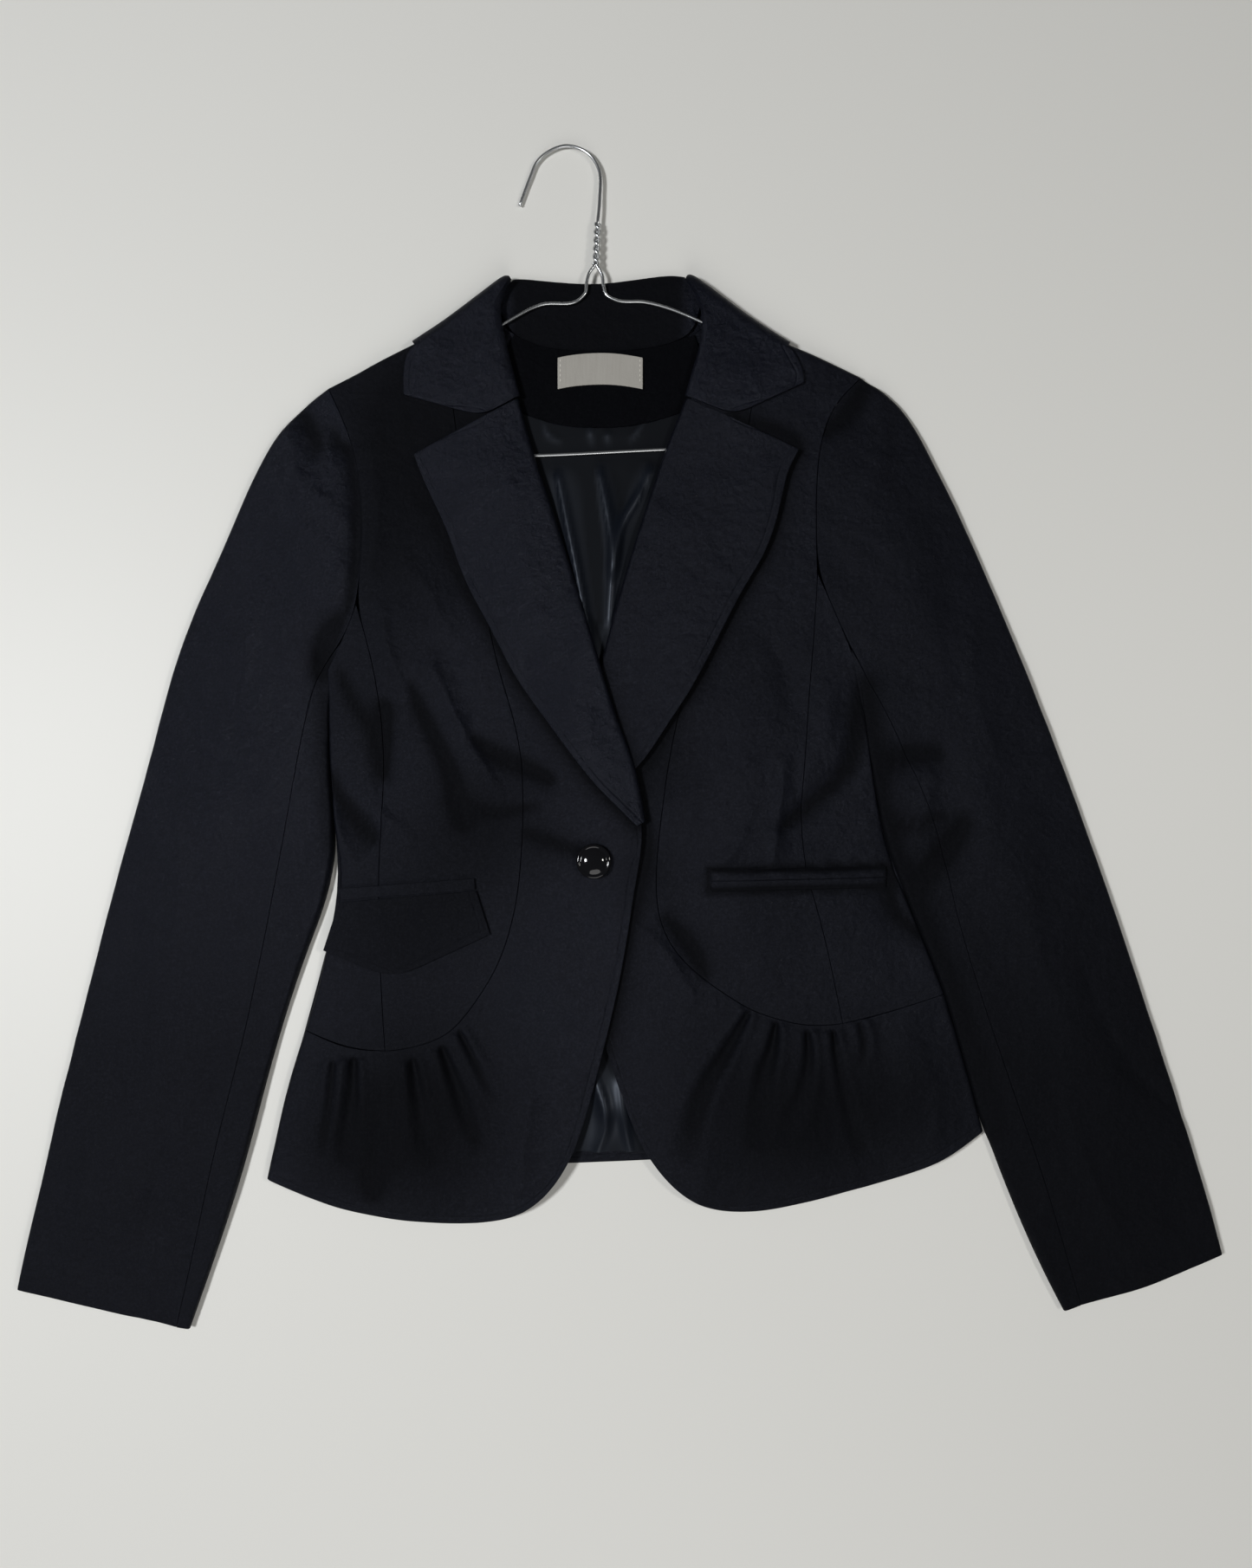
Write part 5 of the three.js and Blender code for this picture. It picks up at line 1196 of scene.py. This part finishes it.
def label_piece():
    mesh = cloth_mesh("neck_label", 3, rim=LABEL["rim"])
    points = positions(mesh)
    middle = points[:, 0].mean()
    points[:, 1] += LABEL["arch"] * (1 - 2 * ((points[:, 0] - middle) / LABEL["half"]) ** 2)
    hills = waver(points[:, :2], LABEL_HILLS["size"], LABEL_HILLS["seed"])
    points[:, 2] += LABEL["lift"] + LABEL_HILLS["high"] * hills
    set_positions(mesh, points)
    piece = finish_piece(mesh, "neck_label_tape", "neck_label", LABEL_TAPE)
    return piece


pieces["back_lining"] = lining_piece()
pieces["neck_label"] = label_piece()
print("lining faces:", len(pieces["back_lining"].data.polygons))

# %% [markdown]
# ## Stitches
# Each row of stitches is a line of short threads. One stitch is a small ball of few faces,
# drawn out long and copied along the line 2.7 mm apart. To lie on the cloth it is dropped
# from above on to the dressed panels, so it follows their folds.

# %% Where the cloth is
def cloth_tree(names):
    bm = bmesh.new()
    for name in names:
        bm.from_mesh(pieces[name].data)
    tree = BVHTree.FromBMesh(bm)
    bm.free()
    return tree


ABOVE = 60
DOWN = Vector((0, 0, -1))


def on_cloth(tree, x, y):
    return tree.ray_cast(Vector((x, y, ABOVE)) * MM, DOWN)[:2]


def inset(line, amount):
    """The line moved sideways by amount, in mm, to its left as it runs."""
    line = np.asarray(line, float)
    unit = np.gradient(line, axis=0)
    unit /= np.hypot(*unit.T)[:, None]
    return line + amount * np.column_stack([-unit[:, 1], unit[:, 0]])


# %% One stitch, and rows of it
STITCH = {"length": 1.9, "flat": 0.7, "sink": 0.04, "steepest": 0.3}


def stitch_mesh(name, radius):
    bm = bmesh.new()
    bmesh.ops.create_uvsphere(bm, u_segments=6, v_segments=4, radius=radius * MM)
    lay_down = Vector((0, 0, 1)).rotation_difference(Vector((1, 0, 0))).to_matrix()
    bmesh.ops.rotate(bm, verts=bm.verts, cent=(0, 0, 0), matrix=lay_down)
    bmesh.ops.scale(bm, verts=bm.verts, vec=(STITCH["length"] / (2 * radius), 1, STITCH["flat"]))
    return mesh_of(bm, name + "_one")


def stitch_rows(name, rows, tree, material, pitch=2.7, radius=0.17):
    one = stitch_mesh(name, radius)
    bm = bmesh.new()
    count = 0
    for line in rows:
        for point, unit in walk(line, pitch):
            place, normal = on_cloth(tree, *point)
            if place is None or normal.z < STITCH["steepest"]:
                continue
            known = len(bm.verts)
            bm.from_mesh(one)
            bm.verts.ensure_lookup_table()
            along = Vector((*unit, 0))
            along = (along - normal * along.dot(normal)).normalized()
            side = normal.cross(along)
            for vert in bm.verts[known:]:
                x, y, z = vert.co
                vert.co = place + along * x + side * y + normal * (z - STITCH["sink"] * MM)
            count += 1
    bpy.data.meshes.remove(one)
    print(name, count, "stitches")
    return finish_piece(mesh_of(bm, name), name, None, material)


# %% [markdown]
# On this coat one row runs 4.5 mm inside the finished edges of the fronts, the lapels and
# the collar. A second kind of row holds the pleats just above the hip seam, and one closes
# each end of the neck label.

# %% Rows of the coat
INSET, HIP_INSET = 4.5, 1.8
LABEL_ENDS = {"across": (-33.2, 19.2), "up": (295.5, 312.5)}
outside = cloth_tree([row["node"] for row in PANELS if row["on"] in ("front", "sleeve")])
front_rows = [
    inset(EDGE_LINES["right_front"], -INSET)[110:],
    inset(EDGE_LINES["left_front"], INSET)[72:],
]
collar_rows = [
    inset(EDGE_LINES["right_lapel"], INSET)[6:-8],
    inset(EDGE_LINES["left_lapel"], -INSET)[6:-8],
    inset(EDGE_LINES["right_collar"], -INSET)[5:],
    inset(EDGE_LINES["left_collar"], INSET)[5:],
]
hip_rows = [inset(SEAM_LINES["right_hip"], -HIP_INSET), inset(SEAM_LINES["left_hip"], HIP_INSET)]
label_rows = [[(x, y) for y in LABEL_ENDS["up"]] for x in LABEL_ENDS["across"]]
label_tree = cloth_tree(["neck_label"])
for name, rows in (("front", front_rows), ("collar", collar_rows), ("hip", hip_rows)):
    stitch_rows(name + "_stitches", rows, outside, BLACK_THREAD)
stitch_rows("label_stitches", label_rows, label_tree, PALE_THREAD, pitch=3.2, radius=0.22)

# %% [markdown]
# ## The button
# A real one is moulded: a rim, a shallow groove and a domed middle. Half its outline is
# spun round once about the middle.

# %% Button
BUTTON_AT = {"x": -11, "y": -19}
BUTTON_OUTLINE = [
    (0.0, 0.0), (9.9, 0.0), (10.8, 0.3), (11.35, 1.0), (11.5, 1.9), (11.3, 2.8), (10.8, 3.4),
    (10.2, 3.65), (9.6, 3.6), (9.1, 3.35), (8.6, 3.3), (7.6, 3.75), (6.1, 4.35), (4.4, 4.8),
    (2.3, 5.08), (0.0, 5.2),
]


def button_piece():
    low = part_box("button")[0].z / MM
    bm = bmesh.new()
    verts = [bm.verts.new(Vector((max(r, 0), 0, z)) * MM) for r, z in smooth_line(BUTTON_OUTLINE, 4)]
    edges = [bm.edges.new(pair) for pair in zip(verts, verts[1:])]
    bmesh.ops.spin(bm, geom=verts + edges, cent=(0, 0, 0), axis=(0, 0, 1), angle=2 * math.pi, steps=64,
                   use_merge=True)
    bmesh.ops.remove_doubles(bm, verts=bm.verts, dist=0.01 * MM)
    bmesh.ops.recalc_face_normals(bm, faces=bm.faces)
    bmesh.ops.translate(bm, verts=bm.verts, vec=Vector((BUTTON_AT["x"], BUTTON_AT["y"], low)) * MM)
    return finish_piece(mesh_of(bm, "button_moulded"), "button_moulded", "button", BUTTON_RESIN)


pieces["button"] = button_piece()
print("button faces:", len(pieces["button"].data.polygons))

# %% [markdown]
# ## The wire hanger
# It is one galvanised wire, bent to a long triangle. Its two ends meet at the neck, twist
# round each other, and one goes on as the hook. A curve with a round section is the
# natural way to make a wire, and it is turned to a mesh once it is bent.

# %% Wire
ARMS = [
    (-10, 373.5, 7), (-14.2, 368, 6.8), (-16, 361, 6.8), (-16.6, 355, 6.8), (-20.5, 350.6, 6.8),
    (-46, 347, 6.8), (-71, 334, 7.3), (-118, 303, 6.7), (-148, 283, 5.6), (-170, 267, 4.4),
    (-179, 256, 4), (-172, 247, 4), (-50, 248, 5.5), (35, 252, 5.7), (154, 257, 4), (162, 265, 4),
    (154, 277, 4.4), (134, 291, 5.6), (108, 307, 6.7), (61, 335, 7.3), (22, 348.8, 6.8),
    (2.5, 350.4, 6.8), (-3, 353.6, 6.8), (-4.8, 359, 6.8), (-5.6, 366, 6.8), (-10, 374, 7.2),
]
HOOK = [
    (-8.8, 401, 5.7), (-7.4, 418, 4.7), (-8.5, 439, 3.8), (-14, 447.5, 3.4), (-29.6, 453.6, 3),
    (-41, 450, 2.7), (-48.5, 443.6, 2.4), (-54, 431.5, 2.2), (-60.4, 414.4, 2),
]
TWIST = {"from": (-10, 373.5, 7), "to": (-8.8, 401, 5.8), "radius": 1.3, "turns": 2.5, "steps": 37}
WIRE_RADIUS = 1.15


def twist_points(phase):
    start, end = Vector(TWIST["from"]), Vector(TWIST["to"])
    points = []
    for share in np.linspace(0, 1, TWIST["steps"]):
        angle = phase + 2 * math.pi * TWIST["turns"] * share
        point = start.lerp(end, share)
        point.x += TWIST["radius"] * math.cos(angle)
        point.z += TWIST["radius"] * math.sin(angle)
        points.append(tuple(point))
    return points


def bent_wire(name, points):
    curve = bpy.data.curves.new(name, "CURVE")
    curve.dimensions = "3D"
    curve.bevel_depth = WIRE_RADIUS * MM
    curve.bevel_resolution = 3
    curve.use_fill_caps = True
    spline = curve.splines.new("POLY")
    spline.points.add(len(points) - 1)
    for target, point in zip(spline.points, points):
        target.co = (*(Vector(point) * MM), 1)
    return applied(added(name, curve))


def hanger_piece():
    parts = [
        bent_wire("arms", smooth_line(ARMS, 8)),
        bent_wire("hook", np.vstack([twist_points(0), smooth_line(HOOK, 8)])),
        bent_wire("twist", twist_points(math.pi)),
    ]
    bm = bmesh.new()
    for mesh in parts:
        bm.from_mesh(mesh)
        bpy.data.meshes.remove(mesh)
    bmesh.ops.remove_doubles(bm, verts=bm.verts, dist=0.001 * MM)
    return finish_piece(mesh_of(bm, "hanger_wire"), "hanger_bent_wire", "hanger", GALVANISED_WIRE)


pieces["hanger"] = hanger_piece()
print("hanger faces:", len(pieces["hanger"].data.polygons))

# %% [markdown]
# ## Finish


print("scene built")
